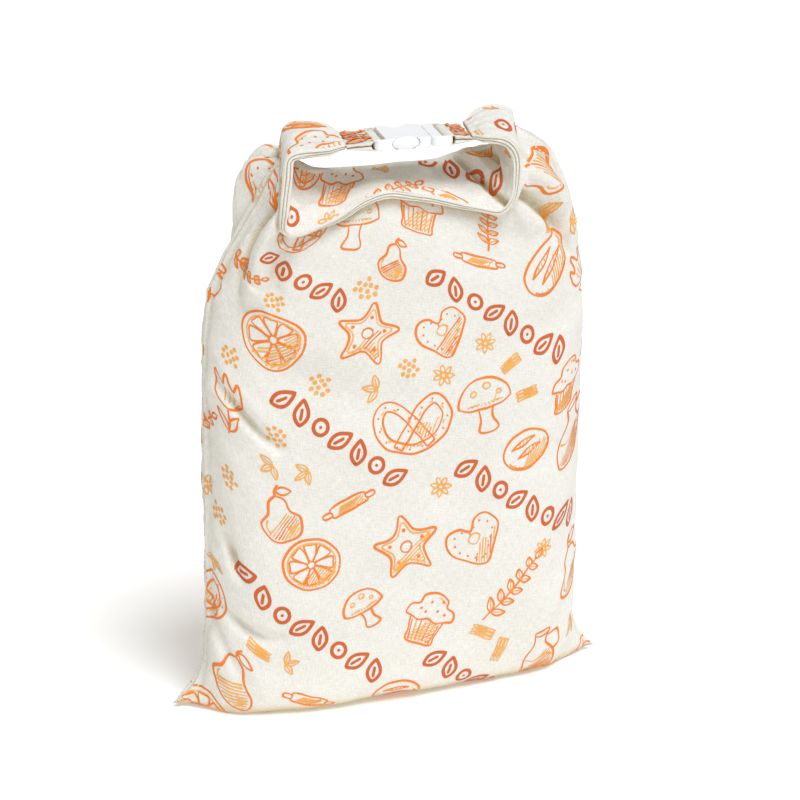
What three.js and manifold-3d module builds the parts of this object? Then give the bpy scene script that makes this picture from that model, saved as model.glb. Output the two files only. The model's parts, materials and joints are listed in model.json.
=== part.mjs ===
// Roll-top bread bag: two canvas panels sewn together at the sides and bottom, filled and standing,
// the mouth rolled into a flat band whose ends are bent up over the top and joined by a side-release
// buckle, so that they make a carry loop. Millimetres, +Z up, +X to the right, the front faces -Y.
import * as THREE from 'three';
import { mergeVertices } from 'three/addons/utils/BufferGeometryUtils.js';
import Module from 'manifold-3d';

const wasm = await Module();
wasm.setup();

// ---------------------------------------------------------------- driving dimensions
const FLAT_WIDTH = 360;        // each panel, side seam to side seam, laid flat
const CLOTH = 1.2;             // thickness of a canvas panel's solid
const GAP = 0.3;               // between neighbouring pieces
const SHOULDER_Q = 350;        // cloth distance from the bottom seam to where the shoulders begin
const BAND_THICK = 7;          // the rolled mouth, all its layers
const TUCK = 6;                // how far a panel's top edge goes in under the band
const ACROSS = 30;             // cells across each panel
const UP_BODY = 20;            // cells from the bottom seam to the shoulder
const UP_SHOULDER = 9;         // cells from the shoulder to the band
const BAND_CELLS = 44;         // sections along the band
const TAB_WIDTH = 26;          // buckle tabs
const TAB_CLOTH = 1.5;
const BUCKLE_WIDTH = 34;
const BUCKLE_THICK = 9;
const BUCKLE_BAR = 3.6;
const BUCKLE_SLOT = 5.2;
const BUCKLE_TILT = 7;         // degrees, top face turned a little to the front

// Sections of the filled body, a row for each distance q up the cloth from the bottom seam.
// xl, xr: side seams; zs: their height; yf, zf: depth and height of the front's middle; yb, zb: the back's;
// nf, nb: squareness of the front's and the back's section; ear: how far from the seam the cloth takes to come to the middle's height;
// lean: how much deeper the left half is than the right.
const BODY = [
  { q: 0,   xl: -180,   xr: 180,   zs: 4,    yf: 0,    zf: 0,    yb: 0,    zb: 0,    nf: 2.4,  nb: 2.4,  ear: 26, lean: 0.1 },
  { q: 10,  xl: -172.5, xr: 174.5, zs: 9.5,  yf: 10.5, zf: 0,    yb: 10,   zb: 0,    nf: 2.9,  nb: 2.5,  ear: 26, lean: 0.22 },
  { q: 22,  xl: -163,   xr: 166,   zs: 18,   yf: 23,   zf: 0,    yb: 22,   zb: 0,    nf: 3.0,  nb: 2.5,  ear: 30, lean: 0.26 },
  { q: 33,  xl: -157,   xr: 160,   zs: 29,   yf: 34,   zf: 2.2,  yb: 32.5, zb: 2.2,  nf: 3.0,  nb: 2.4,  ear: 42, lean: 0.22 },
  { q: 47,  xl: -153,   xr: 157.5, zs: 43,   yf: 45,   zf: 11,   yb: 44,   zb: 11,   nf: 2.9,  nb: 2.3,  ear: 52, lean: 0.16 },
  { q: 64,  xl: -151,   xr: 157,   zs: 60,   yf: 51,   zf: 27,   yb: 50,   zb: 27,   nf: 2.8,  nb: 2.2,  ear: 60, lean: 0.1 },
  { q: 95,  xl: -149.5, xr: 157,   zs: 91,   yf: 55,   zf: 58,   yb: 53.5, zb: 58,   nf: 2.7,  nb: 2.15, ear: 70, lean: 0.05 },
  { q: 140, xl: -149,   xr: 157.5, zs: 136,  yf: 57.5, zf: 103,  yb: 56.5, zb: 103,  nf: 2.6,  nb: 2.1,  ear: 74, lean: 0.02 },
  { q: 200, xl: -148.5, xr: 158,   zs: 196,  yf: 58.5, zf: 163,  yb: 58.5, zb: 163,  nf: 2.5,  nb: 2.1,  ear: 76, lean: 0 },
  { q: 260, xl: -147.5, xr: 158.5, zs: 256,  yf: 58.5, zf: 223,  yb: 58.5, zb: 223,  nf: 2.5,  nb: 2.1,  ear: 76, lean: 0 },
  { q: 310, xl: -146,   xr: 158.5, zs: 305,  yf: 57.5, zf: 273,  yb: 57.5, zb: 273,  nf: 2.5,  nb: 2.1,  ear: 76, lean: 0 },
  { q: 350, xl: -141,   xr: 157,   zs: 341,  yf: 56,   zf: 313,  yb: 55,   zb: 312,  nf: 2.45, nb: 2.1,  ear: 76, lean: 0 },
];

// Side seams above the shoulder, s from the shoulder (0) to the outer side of the band's upright (1).
const SEAM = [
  { s: 0,    xl: -141,   yl: 0,   zl: 341, xr: 157, yr: 0,   zr: 341 },
  { s: 0.25, xl: -129,   yl: -6,  zl: 368, xr: 152, yr: 0,   zr: 370 },
  { s: 0.5,  xl: -116,   yl: -12, zl: 391, xr: 145, yr: 0,   zr: 399 },
  { s: 0.75, xl: -104,   yl: -20, zl: 416, xr: 130, yr: -4,  zr: 430 },
  { s: 1,    xl: -93.5,  yl: -32, zl: 446, xr: 96.5, yr: -22, zr: 456 },
];

// How each panel's cloth comes up over the shoulders to the band, a row for each share u of its width:
// rise, how far it goes on upward before it turns; come and in_x, in_y, in_z, how far ahead and in which
// direction it heads for the band; deep, how far along the band's width it ends.
const RISE_FRONT = [
  { u: 0,    rise: 0.9,  come: 0.7,  in_x: 0.4,   in_y: -0.5, in_z: 0.7,  deep: 0.62 },
  { u: 0.1,  rise: 0.95, come: 0.8,  in_x: 0.62,  in_y: -0.5, in_z: 0.5,  deep: 0.08 },
  { u: 0.17, rise: 1.0,  come: 0.8,  in_x: 0.5,   in_y: -0.4, in_z: 0.7,  deep: 0.04 },
  { u: 0.26, rise: 1.0,  come: 0.75, in_x: 0.1,   in_y: 0.2,  in_z: 0.97, deep: 0.13 },
  { u: 0.5,  rise: 1.0,  come: 0.75, in_x: 0,     in_y: 0.3,  in_z: 0.95, deep: 0.13 },
  { u: 0.74, rise: 1.0,  come: 0.75, in_x: -0.1,  in_y: 0.2,  in_z: 0.97, deep: 0.13 },
  { u: 0.83, rise: 1.1,  come: 0.9,  in_x: -0.55, in_y: -0.5, in_z: 0.6,  deep: 0.04 },
  { u: 0.91, rise: 1.4,  come: 1.1,  in_x: -0.7,  in_y: -0.5, in_z: 0.2,  deep: 0.05 },
  { u: 0.96, rise: 1.4,  come: 1.1,  in_x: -0.8,  in_y: -0.3, in_z: 0.3,  deep: 0.35 },
  { u: 1,    rise: 1.2,  come: 1.0,  in_x: -0.8,  in_y: -0.2, in_z: 0.5,  deep: 0.8 },
];
const RISE_BACK = [
  { u: 0,    rise: 0.9,  come: 0.7,  in_x: 0.4,   in_y: -0.5, in_z: 0.7,   deep: 0.62 },
  { u: 0.07, rise: 1.6,  come: 1.4,  in_x: 0.8,   in_y: -0.45, in_z: -0.4,  deep: 0.97 },
  { u: 0.16, rise: 1.75,  come: 1.5,  in_x: 0.6,   in_y: -0.65, in_z: -0.42, deep: 1 },
  { u: 0.28, rise: 1.25, come: 1.05, in_x: 0.1,   in_y: -0.9, in_z: 0.3,   deep: 1 },
  { u: 0.5,  rise: 1.15, come: 1.0,  in_x: 0,     in_y: -0.9, in_z: 0.4,   deep: 1 },
  { u: 0.72, rise: 1.25, come: 1.05, in_x: -0.1,  in_y: -0.9, in_z: 0.3,   deep: 1 },
  { u: 0.84, rise: 1.4,  come: 1.2,  in_x: -0.6,  in_y: -0.75, in_z: -0.1, deep: 1 },
  { u: 0.93, rise: 1.4,  come: 1.15, in_x: -0.85, in_y: -0.5, in_z: -0.1,  deep: 0.97 },
  { u: 1,    rise: 1.2,  come: 1.0,  in_x: -0.8,  in_y: -0.2, in_z: 0.5,   deep: 0.8 },
];

// The rolled mouth, a row for each station along it: f its front edge (the lip), b its back edge.
const BAND = [
  { at: 'left end',         fx: -43,  fy: -54, fz: 455,   bx: -43,  by: -24, bz: 460 },
  { at: 'left arm',         fx: -62,  fy: -57, fz: 454,   bx: -52,  by: -15, bz: 464 },
  { at: 'left arm',         fx: -82,  fy: -58, fz: 453.5, bx: -70,  by: -13, bz: 467.5 },
  { at: 'left corner',      fx: -92,  fy: -58, fz: 450,   bx: -81,  by: -13, bz: 466 },
  { at: 'left upright',     fx: -94,  fy: -58, fz: 436,   bx: -85,  by: -15, bz: 455 },
  { at: 'left upright',     fx: -97,  fy: -57, fz: 412,   bx: -83.5, by: -21, bz: 444 },
  { at: 'lower left',       fx: -97,  fy: -55, fz: 397,   bx: -76,  by: -25, bz: 438 },
  { at: 'lip',              fx: -85,  fy: -53, fz: 392,   bx: -67,  by: -21, bz: 434.5 },
  { at: 'lip',              fx: -68,  fy: -52, fz: 396.5, bx: -54,  by: -14, bz: 431 },
  { at: 'lip',              fx: -52,  fy: -51, fz: 402,   bx: -42,  by: -8,  bz: 429.5 },
  { at: 'lip',              fx: -34,  fy: -50, fz: 411.5, bx: -28,  by: -5,  bz: 428.5 },
  { at: 'lip top',          fx: -16,  fy: -50, fz: 416.5, bx: -13,  by: -4,  bz: 428 },
  { at: 'lip',              fx: 2,    fy: -50, fz: 413.5, bx: 5,    by: -4,  bz: 429 },
  { at: 'lip',              fx: 20,   fy: -51, fz: 410,   bx: 22,   by: -4,  bz: 429 },
  { at: 'lip',              fx: 38,   fy: -52, fz: 405,   bx: 39,   by: -4,  bz: 430 },
  { at: 'lip',              fx: 56,   fy: -54, fz: 400.5, bx: 53,   by: -6,  bz: 434 },
  { at: 'lower right',      fx: 72,   fy: -56, fz: 398,   bx: 67,   by: -9,  bz: 436 },
  { at: 'right upright',    fx: 81,   fy: -58, fz: 408,   bx: 79,   by: -11, bz: 440 },
  { at: 'right upright',    fx: 83.5, fy: -58, fz: 425,   bx: 88,   by: -13, bz: 450 },
  { at: 'right upright',    fx: 82.5, fy: -58, fz: 440,   bx: 92,   by: -14, bz: 460 },
  { at: 'right corner',     fx: 76,   fy: -58, fz: 450,   bx: 90,   by: -14, bz: 468 },
  { at: 'right arm',        fx: 64,   fy: -58, fz: 454.5, bx: 72,   by: -14, bz: 469.5 },
  { at: 'right end',        fx: 44,   fy: -54, fz: 455,   bx: 44,   by: -24, bz: 460 },
];
const LEFT_CORNER = { front: 4, back: 3.4 };   // rows of BAND where the panels' sides come in
const RIGHT_CORNER = 19;
const BAND_END_L = -47;         // where the tabs come out of the band's ends
const BAND_END_R = 48;

// Main folds pressed into the panels, on the flat cloth: from (p0, q0) to (p1, q1), p to the right of the
// middle and q up from the bottom seam; high is how far the cloth stands out (+) or sinks in (-), wide its half width.
const FOLDS_FRONT = [
  { p0: -122, q0: 448, p1: -146, q1: 372, high: -4.5, wide: 11 },
  { p0: -146, q0: 440, p1: -160, q1: 350, high: 3,    wide: 12 },
  { p0: 142,  q0: 440, p1: 160,  q1: 350, high: -4,   wide: 12 },
  { p0: 116,  q0: 446, p1: 146,  q1: 380, high: 3,    wide: 13 },
  { p0: -166, q0: 250, p1: -152, q1: 90,  high: -3,   wide: 16 },
  { p0: -150, q0: 330, p1: -110, q1: 255, high: -2.5, wide: 16 },
  { p0: -140, q0: 330, p1: -40,  q1: 265, high: -2,   wide: 26 },
  { p0: -150, q0: 92,  p1: -108, q1: 62,  high: -2.5, wide: 12 },
];
const FOLDS_BACK = [
  { p0: -143, q0: 436, p1: -168, q1: 345, high: -11,  wide: 17 },
  { p0: -132, q0: 440, p1: -84,  q1: 438, high: 8,    wide: 13 },
  { p0: 124,  q0: 452, p1: 140,  q1: 350, high: -4,   wide: 12 },
  { p0: 30,   q0: 440, p1: -40,  q1: 340, high: -2.5, wide: 24 },
  { p0: -60,  q0: 300, p1: -140, q1: 250, high: -2,   wide: 24 },
  { p0: 156,  q0: 260, p1: 150,  q1: 100, high: -3,   wide: 16 },
];

// ---------------------------------------------------------------- small vector and table tools
const add = (a, b, k = 1) => [a[0] + k * b[0], a[1] + k * b[1], a[2] + k * b[2]];
const sub = (a, b) => add(a, b, -1);
const mul = (a, k) => [a[0] * k, a[1] * k, a[2] * k];
const dot = (a, b) => a[0] * b[0] + a[1] * b[1] + a[2] * b[2];
const cross = (a, b) => [a[1] * b[2] - a[2] * b[1], a[2] * b[0] - a[0] * b[2], a[0] * b[1] - a[1] * b[0]];
const unit = (a) => mul(a, 1 / (Math.hypot(...a) || 1));
const mix = (a, b, t) => a + (b - a) * t;
const mixv = (a, b, t) => a.map((v, i) => mix(v, b[i], t));
const smooth = (t) => { const k = Math.min(Math.max(t, 0), 1); return k * k * (3 - 2 * k); };

// A smooth track through a table's rows along one column, without overshoot.
function track(rows, key, cols) {
  const xs = rows.map((r) => r[key]);
  const slopes = {};
  for (const c of cols) {
    const d = [];
    for (let i = 0; i + 1 < rows.length; i += 1) d.push((rows[i + 1][c] - rows[i][c]) / (xs[i + 1] - xs[i]));
    slopes[c] = rows.map((_, i) => {
      if (i === 0) return d[0];
      if (i === rows.length - 1) return d[i - 1];
      if (d[i - 1] * d[i] <= 0) return 0;
      const w1 = 2 * (xs[i + 1] - xs[i]) + (xs[i] - xs[i - 1]);
      const w2 = (xs[i + 1] - xs[i]) + 2 * (xs[i] - xs[i - 1]);
      return (w1 + w2) / (w1 / d[i - 1] + w2 / d[i]);
    });
  }
  return (x) => {
    let i = 0;
    while (i < xs.length - 2 && x > xs[i + 1]) i += 1;
    const h = xs[i + 1] - xs[i];
    const t = (x - xs[i]) / h;
    const out = {};
    for (const c of cols) {
      const a = rows[i][c], b = rows[i + 1][c], m0 = slopes[c][i] * h, m1 = slopes[c][i + 1] * h;
      out[c] = (2 * t ** 3 - 3 * t ** 2 + 1) * a + (t ** 3 - 2 * t ** 2 + t) * m0
        + (-2 * t ** 3 + 3 * t ** 2) * b + (t ** 3 - t ** 2) * m1;
    }
    return out;
  };
}

// A rounder track, Catmull-Rom through the rows by their number.
function spline(rows, cols) {
  return (x) => {
    const i = Math.min(Math.max(Math.floor(x), 0), rows.length - 2);
    const t = x - i;
    const out = {};
    for (const c of cols) {
      const p1 = rows[i][c], p2 = rows[i + 1][c];
      const p0 = i > 0 ? rows[i - 1][c] : 2 * p1 - p2;
      const p3 = i + 2 < rows.length ? rows[i + 2][c] : 2 * p2 - p1;
      out[c] = 0.5 * (2 * p1 + (p2 - p0) * t + (2 * p0 - 5 * p1 + 4 * p2 - p3) * t * t
        + (3 * p1 - p0 - 3 * p2 + p3) * t ** 3);
    }
    return out;
  };
}

// ---------------------------------------------------------------- the rolled band's frame
const bandAt = spline(BAND, ['fx', 'fy', 'fz', 'bx', 'by', 'bz']);
function bandFrame(x) {
  const r = bandAt(x);
  const f = [r.fx, r.fy, r.fz], b = [r.bx, r.by, r.bz];
  const e = 0.05;
  const r0 = bandAt(Math.max(x - e, 0)), r1 = bandAt(Math.min(x + e, BAND.length - 1));
  const along = unit([r1.fx + r1.bx - r0.fx - r0.bx, r1.fy + r1.by - r0.fy - r0.by, r1.fz + r1.bz - r0.fz - r0.bz]);
  const w = unit(sub(b, f));
  const out = unit(cross(w, along));        // away from the loop's inside
  return { f, b, w, along, out, width: Math.hypot(...sub(b, f)) };
}

// ---------------------------------------------------------------- the filled body
const bodyAt = track(BODY, 'q', ['xl', 'xr', 'zs', 'yf', 'zf', 'yb', 'zb', 'nf', 'nb', 'ear', 'lean']);
const RISE_COLS = ['rise', 'come', 'in_x', 'in_y', 'in_z', 'deep'];
const riseAt = { front: track(RISE_FRONT, 'u', RISE_COLS), back: track(RISE_BACK, 'u', RISE_COLS) };
const seamAt = track(SEAM, 's', ['xl', 'yl', 'zl', 'xr', 'yr', 'zr']);

// One section's outline from seam to seam, as shares of its half width and depth, evenly spaced along the cloth.
function outline(r, deep, n) {
  const half = (r.xr - r.xl) / 2;
  const N = 240;
  const pts = [];
  for (let i = 0; i <= N; i += 1) {
    const a = Math.PI * i / N;
    const c = -Math.sign(Math.cos(a)) * Math.abs(Math.cos(a)) ** (2 / n);
    pts.push([c, Math.abs(Math.sin(a)) ** (2 / n)]);
  }
  const len = [0];
  for (let i = 1; i <= N; i += 1) {
    len.push(len[i - 1] + Math.hypot((pts[i][0] - pts[i - 1][0]) * half, (pts[i][1] - pts[i - 1][1]) * deep));
  }
  return (u) => {
    const want = u * len[N];
    let i = 1;
    while (i < N && len[i] < want) i += 1;
    const t = (want - len[i - 1]) / (len[i] - len[i - 1] || 1);
    return [mix(pts[i - 1][0], pts[i][0], t), mix(pts[i - 1][1], pts[i][1], t), Math.min(u, 1 - u) * len[N]];
  };
}

function bodyRow(q, side) {                 // side -1 the front, +1 the back
  const r = bodyAt(q);
  const deep = Math.max(side < 0 ? r.yf : r.yb, 0.001);
  const zm = side < 0 ? r.zf : r.zb;
  const shape = outline(r, deep, side < 0 ? r.nf : r.nb);
  const mid = (r.xl + r.xr) / 2, half = (r.xr - r.xl) / 2;
  return (u) => {
    const [c, s, d] = shape(u);
    return [mid + half * c, side * deep * s * (1 - r.lean * c), mix(r.zs, zm, smooth(d / r.ear))];
  };
}

// Above the shoulder each line up the cloth is one smooth curve from the body to the band.
function shoulderRow(side) {
  const low = bodyRow(SHOULDER_Q, side), lower = bodyRow(SHOULDER_Q - 6, side);
  return (u, s) => {
    const at = mix(side < 0 ? LEFT_CORNER.front : LEFT_CORNER.back, RIGHT_CORNER, u);
    const k = bandFrame(at);
    const a = low(u);
    const rise = unit(sub(a, lower(u)));
    const r = (side < 0 ? riseAt.front : riseAt.back)(u);
    const under = Math.min(smooth((u - 0.16) / 0.1), smooth((0.84 - u) / 0.1));   // 1 along the lip, 0 at the uprights
    const round = BAND_THICK / 2, lift = round + GAP + 0.4 + CLOTH;
    const x = side < 0 ? r.deep * k.width : r.deep * (k.width - round + lift * Math.PI / 2);
    const turn = Math.max(x - (k.width - round), 0) / lift;  // how far the cloth has gone round the band's back edge
    const foot = add(k.f, k.w, Math.min(x, k.width - round));
    const end = add(add(foot, k.out, (lift - CLOTH * under * (side < 0)) * Math.cos(turn)), k.w, lift * Math.sin(turn));
    const come = unit([r.in_x, r.in_y, r.in_z]);
    const reach = Math.hypot(...sub(end, a));
    const m0 = mul(rise, reach * r.rise), m1 = mul(come, reach * r.come);
    const h = (t) => a.map((v, i) => (2 * t ** 3 - 3 * t ** 2 + 1) * v + (t ** 3 - 2 * t ** 2 + t) * m0[i]
      + (-2 * t ** 3 + 3 * t ** 2) * end[i] + (t ** 3 - t ** 2) * m1[i]);
    return { p: h(s), a, end };
  };
}

function panelPoint(side) {
  const up = shoulderRow(side);
  const rows = new Map();
  const ends = new Map();
  return (u, v) => {                        // v 0..1 the body, 1..2 the shoulders
    let p;
    if (v <= 1) {
      const q = v * SHOULDER_Q;
      if (!rows.has(q)) rows.set(q, bodyRow(q, side));
      p = rows.get(q)(u);
    } else {
      const s = v - 1;
      p = up(u, s).p;
      const seam = seamAt(s);
      for (const [edge, near, at] of [[0, u, [seam.xl, seam.yl, seam.zl]], [1, 1 - u, [seam.xr, seam.yr, seam.zr]]]) {
        const w = (1 - smooth(near / 0.16));
        if (w > 0) p = add(p, sub(at, up(edge, s).p), w);
      }
    }
    return p;
  };
}

function foldHeight(folds, p, q) {
  let sum = 0;
  for (const f of folds) {
    const dx = f.p1 - f.p0, dq = f.q1 - f.q0, L2 = dx * dx + dq * dq;
    const t = ((p - f.p0) * dx + (q - f.q0) * dq) / L2;
    const k = Math.min(Math.max(t, 0), 1);
    const d = Math.hypot(p - f.p0 - k * dx, q - f.q0 - k * dq);
    sum += f.high * Math.exp(-((d / f.wide) ** 2)) * (0.35 + 0.65 * Math.sin(Math.PI * Math.min(Math.max(t, 0.06), 0.94)));
  }
  return sum;
}

// ---------------------------------------------------------------- closed solids from grids of points
function closedFromGrids(outer, inner, flip) {     // outer[j][i], j up, i across
  const nv = outer.length - 1, nu = outer[0].length - 1;
  const pos = [], idx = [];
  const id = (layer, i, j) => layer * (nu + 1) * (nv + 1) + j * (nu + 1) + i;
  for (const grid of [outer, inner]) for (const row of grid) for (const p of row) pos.push(...p);
  const tri = (a, b, c) => (flip ? idx.push(a, c, b) : idx.push(a, b, c));
  const quad = (a, b, c, d) => { tri(a, b, c); tri(a, c, d); };
  for (let j = 0; j < nv; j += 1) {
    for (let i = 0; i < nu; i += 1) {
      quad(id(0, i, j), id(0, i + 1, j), id(0, i + 1, j + 1), id(0, i, j + 1));
      quad(id(1, i, j), id(1, i, j + 1), id(1, i + 1, j + 1), id(1, i + 1, j));
    }
  }
  for (let i = 0; i < nu; i += 1) {
    quad(id(1, i, 0), id(1, i + 1, 0), id(0, i + 1, 0), id(0, i, 0));
    quad(id(0, i, nv), id(0, i + 1, nv), id(1, i + 1, nv), id(1, i, nv));
  }
  for (let j = 0; j < nv; j += 1) {
    quad(id(0, 0, j), id(0, 0, j + 1), id(1, 0, j + 1), id(1, 0, j));
    quad(id(1, nu, j), id(1, nu, j + 1), id(0, nu, j + 1), id(0, nu, j));
  }
  const g = new THREE.BufferGeometry();
  g.setAttribute('position', new THREE.Float32BufferAttribute(pos, 3));
  g.setIndex(idx);
  return g;
}

function gridNormals(grid, flip) {
  const nv = grid.length - 1, nu = grid[0].length - 1;
  return grid.map((row, j) => row.map((_, i) => {
    const du = sub(grid[j][Math.min(i + 1, nu)], grid[j][Math.max(i - 1, 0)]);
    const dv = sub(grid[Math.min(j + 1, nv)][i], grid[Math.max(j - 1, 0)][i]);
    const n = unit(cross(du, dv));
    return flip ? mul(n, -1) : n;
  }));
}

function panel(side) {
  const at = panelPoint(side);
  const folds = side < 0 ? FOLDS_FRONT : FOLDS_BACK;
  const us = [], vs = [];
  for (let i = 0; i <= ACROSS; i += 1) {     // closer together at the side seams
    const t = i / ACROSS;
    us.push(t - 0.055 * Math.sin(2 * Math.PI * t));
  }
  for (let j = 0; j <= UP_BODY; j += 1) vs.push((j / UP_BODY) ** 1.35);
  for (let j = 1; j <= UP_SHOULDER; j += 1) vs.push(1 + j / UP_SHOULDER);
  let grid = vs.map((v) => us.map((u) => at(u, v)));
  let n = gridNormals(grid, side > 0);
  const topQ = SHOULDER_Q + 112;
  grid = grid.map((row, j) => row.map((p, i) => {
    const q = vs[j] <= 1 ? vs[j] * SHOULDER_Q : mix(SHOULDER_Q, topQ, vs[j] - 1);
    const pp = (us[i] - 0.5) * FLAT_WIDTH;
    const quiet = Math.min(smooth((vs[vs.length - 1] - vs[j]) / 0.25), smooth(us[i] / 0.04), smooth((1 - us[i]) / 0.04));
    const m = add(p, n[j][i], foldHeight(folds, pp, q) * quiet);
    return [m[0], m[1], Math.max(m[2], 0)];
  }));
  n = gridNormals(grid, side > 0);
  // the seams' rims meet their neighbour across half a gap
  const last = us.length - 1;
  const outer = grid.map((row, j) => row.map((p, i) => {
    const rim = i === 0 || i === last || j === 0;
    if (!rim) return p;
    const top = 0.4 * smooth((vs[j] - 1.6) / 0.4);
    return [p[0], p[1] + side * (GAP / 2 + top + CLOTH * Math.abs(n[j][i][1])), p[2]];
  }));
  const inner = outer.map((row, j) => row.map((p, i) => {
    const flat = p[2] < 0.01;                // on the floor the cloth's thickness goes straight up
    return flat ? [p[0], p[1], p[2] + CLOTH] : add(p, n[j][i], -CLOTH);
  }));
  return closedFromGrids(outer, inner, side > 0);
}

function band(grow = 0) {
  const rings = [];
  for (let k = 0; k <= BAND_CELLS; k += 1) {
    const fr = bandFrame(k / BAND_CELLS * (BAND.length - 1));
    const half = fr.width / 2, mid = mul(add(fr.f, fr.b), 0.5), r = BAND_THICK / 2 + grow;
    const ring = [];
    for (const [end, from] of [[1, -90], [-1, 90]]) {
      for (let i = 0; i <= 4; i += 1) {
        const a = (from + 45 * i) * Math.PI / 180;
        ring.push(add(add(mid, fr.w, end * (half + grow - r) + r * Math.cos(a)), fr.out, r * Math.sin(a)));
      }
    }
    rings.push(ring);
  }
  const m = rings[0].length, pos = rings.flat(2), idx = [];
  for (let k = 0; k < BAND_CELLS; k += 1) {
    for (let i = 0; i < m; i += 1) {
      const a = k * m + i, b = k * m + (i + 1) % m, c = a + m, d = b + m;
      idx.push(a, c, b, b, c, d);
    }
  }
  for (let i = 1; i + 1 < m; i += 1) {
    idx.push(0, i, i + 1);
    const z = BAND_CELLS * m;
    idx.push(z, z + i + 1, z + i);
  }
  const g = new THREE.BufferGeometry();
  g.setAttribute('position', new THREE.Float32BufferAttribute(pos, 3));
  g.setIndex(idx);
  return g;
}

// ---------------------------------------------------------------- solids joined and cut
function solid(geometry, matrix) {
  const g = (geometry.index ? geometry.toNonIndexed() : geometry.clone());
  for (const name of Object.keys(g.attributes)) if (name !== 'position') g.deleteAttribute(name);
  if (matrix) g.applyMatrix4(matrix);
  const m = mergeVertices(g, 1e-4);
  return new wasm.Manifold(new wasm.Mesh({
    numProp: 3,
    vertProperties: new Float32Array(m.attributes.position.array),
    triVerts: new Uint32Array(m.index.array),
  }));
}
function geometryOf(manifold) {
  const m = manifold.getMesh();
  const g = new THREE.BufferGeometry();
  const p = new Float32Array(m.numVert * 3);
  for (let i = 0; i < m.numVert; i += 1) for (let k = 0; k < 3; k += 1) p[3 * i + k] = m.vertProperties[i * m.numProp + k];
  g.setAttribute('position', new THREE.BufferAttribute(p, 3));
  g.setIndex(new THREE.BufferAttribute(new Uint32Array(m.triVerts), 1));
  return g;
}
const shift = (x, y, z) => new THREE.Matrix4().makeTranslation(x, y, z);

function roundedPlate(x0, x1, width, thick, r, bevel = 0) {
  const s = new THREE.Shape();
  const a = x0 + bevel, b = x1 - bevel, h = width / 2 - bevel;
  s.moveTo(a + r, -h); s.lineTo(b - r, -h); s.quadraticCurveTo(b, -h, b, -h + r);
  s.lineTo(b, h - r); s.quadraticCurveTo(b, h, b - r, h);
  s.lineTo(a + r, h); s.quadraticCurveTo(a, h, a, h - r);
  s.lineTo(a, -h + r); s.quadraticCurveTo(a, -h, a + r, -h);
  const g = new THREE.ExtrudeGeometry(s, {
    depth: thick - 2 * bevel, bevelEnabled: bevel > 0, bevelThickness: bevel, bevelSize: bevel, bevelSegments: 2, curveSegments: 3,
  });
  g.translate(0, 0, -(thick - 2 * bevel) / 2);
  return g;
}
const block = (x0, x1, y0, y1, z0, z1) => new THREE.BoxGeometry(x1 - x0, y1 - y0, z1 - z0)
  .translate((x0 + x1) / 2, (y0 + y1) / 2, (z0 + z1) / 2);

// The buckle lies along X about its own middle: the socket from SOCKET_X0 to JOINT_X, the prong half from there on.
const SOCKET_X0 = -27, JOINT_X = 17, PRONG_X1 = 34.5, WAIST_R = 90;
const ARM_TIP = -15, PAD_X = ARM_TIP + 11.5;      // the sprung side prongs' tips, and the middle of their pads
function socket() {
  const w = BUCKLE_WIDTH, t = BUCKLE_THICK;
  let body = solid(roundedPlate(SOCKET_X0, JOINT_X, w, t, 4, 1.4));
  // the sides draw in a little where fingers press the prongs
  for (const s of [-1, 1]) body = body.subtract(solid(new THREE.CylinderGeometry(WAIST_R, WAIST_R, 2 * t, 96).rotateX(Math.PI / 2).translate(PAD_X, s * (w / 2 - 1.7 + WAIST_R), 0)));
  // slot that the tab goes through
  const sx = SOCKET_X0 + BUCKLE_BAR;
  body = body.subtract(solid(block(sx, sx + BUCKLE_SLOT, -w / 2 + 3.4, w / 2 - 3.4, -t, t)));
  // the bar is thinner than the body
  body = body.subtract(solid(block(SOCKET_X0 - 1, sx + 0.01, -w / 2 + 3.4, w / 2 - 3.4, 2.2, t)));
  body = body.subtract(solid(block(SOCKET_X0 - 1, sx + 0.01, -w / 2 + 3.4, w / 2 - 3.4, -t, -2.2)));
  // hollow for the prongs, open at the joint, and the two side windows
  body = body.subtract(solid(block(sx + BUCKLE_SLOT + 2.4, JOINT_X + 1, -w / 2 + 3, w / 2 - 3, -2.7, 2.7)));
  body = body.subtract(solid(block(ARM_TIP + 2.5, ARM_TIP + 22.5, -w, w, -3.1, 3.1)));
  return body;
}
function prongs() {
  const w = BUCKLE_WIDTH - 1.5, t = BUCKLE_THICK - 1;
  const x0 = JOINT_X + GAP;
  let body = solid(roundedPlate(x0, PRONG_X1, w, t, 4, 1.4));
  const sx = PRONG_X1 - BUCKLE_BAR;
  body = body.subtract(solid(block(sx - BUCKLE_SLOT, sx, -w / 2 + 2.8, w / 2 - 2.8, -t, t)));
  body = body.subtract(solid(block(sx - 0.01, PRONG_X1 + 1, -w / 2 + 2.8, w / 2 - 2.8, 2.2, t)));
  body = body.subtract(solid(block(sx - 0.01, PRONG_X1 + 1, -w / 2 + 2.8, w / 2 - 2.8, -t, -2.2)));
  // middle tongue and the two sprung side prongs with the pads that show in the side windows
  body = body.add(solid(block(ARM_TIP + 6, x0 + 2, -2.6, 2.6, -2.2, 2.2)));
  for (const s of [-1, 1]) {
    const arm = new THREE.Shape();
    const y = (v) => s * v;
    const to = (x, v) => arm.lineTo(ARM_TIP + x, y(v));
    arm.moveTo(x0 + 2, y(13)); arm.lineTo(x0 + 2, y(8.6)); to(1.5, 8.6); to(0, 10);
    to(0, 12); to(2.8, 13.3); to(3, 15.2); to(8.5, 16.9); to(14.5, 16.9); to(21, 15);
    to(22, 12.6);
    const g = new THREE.ExtrudeGeometry(arm, { depth: 4.6, bevelEnabled: false });
    g.translate(0, 0, -2.3);
    body = body.add(solid(g));
  }
  return body;
}

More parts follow.
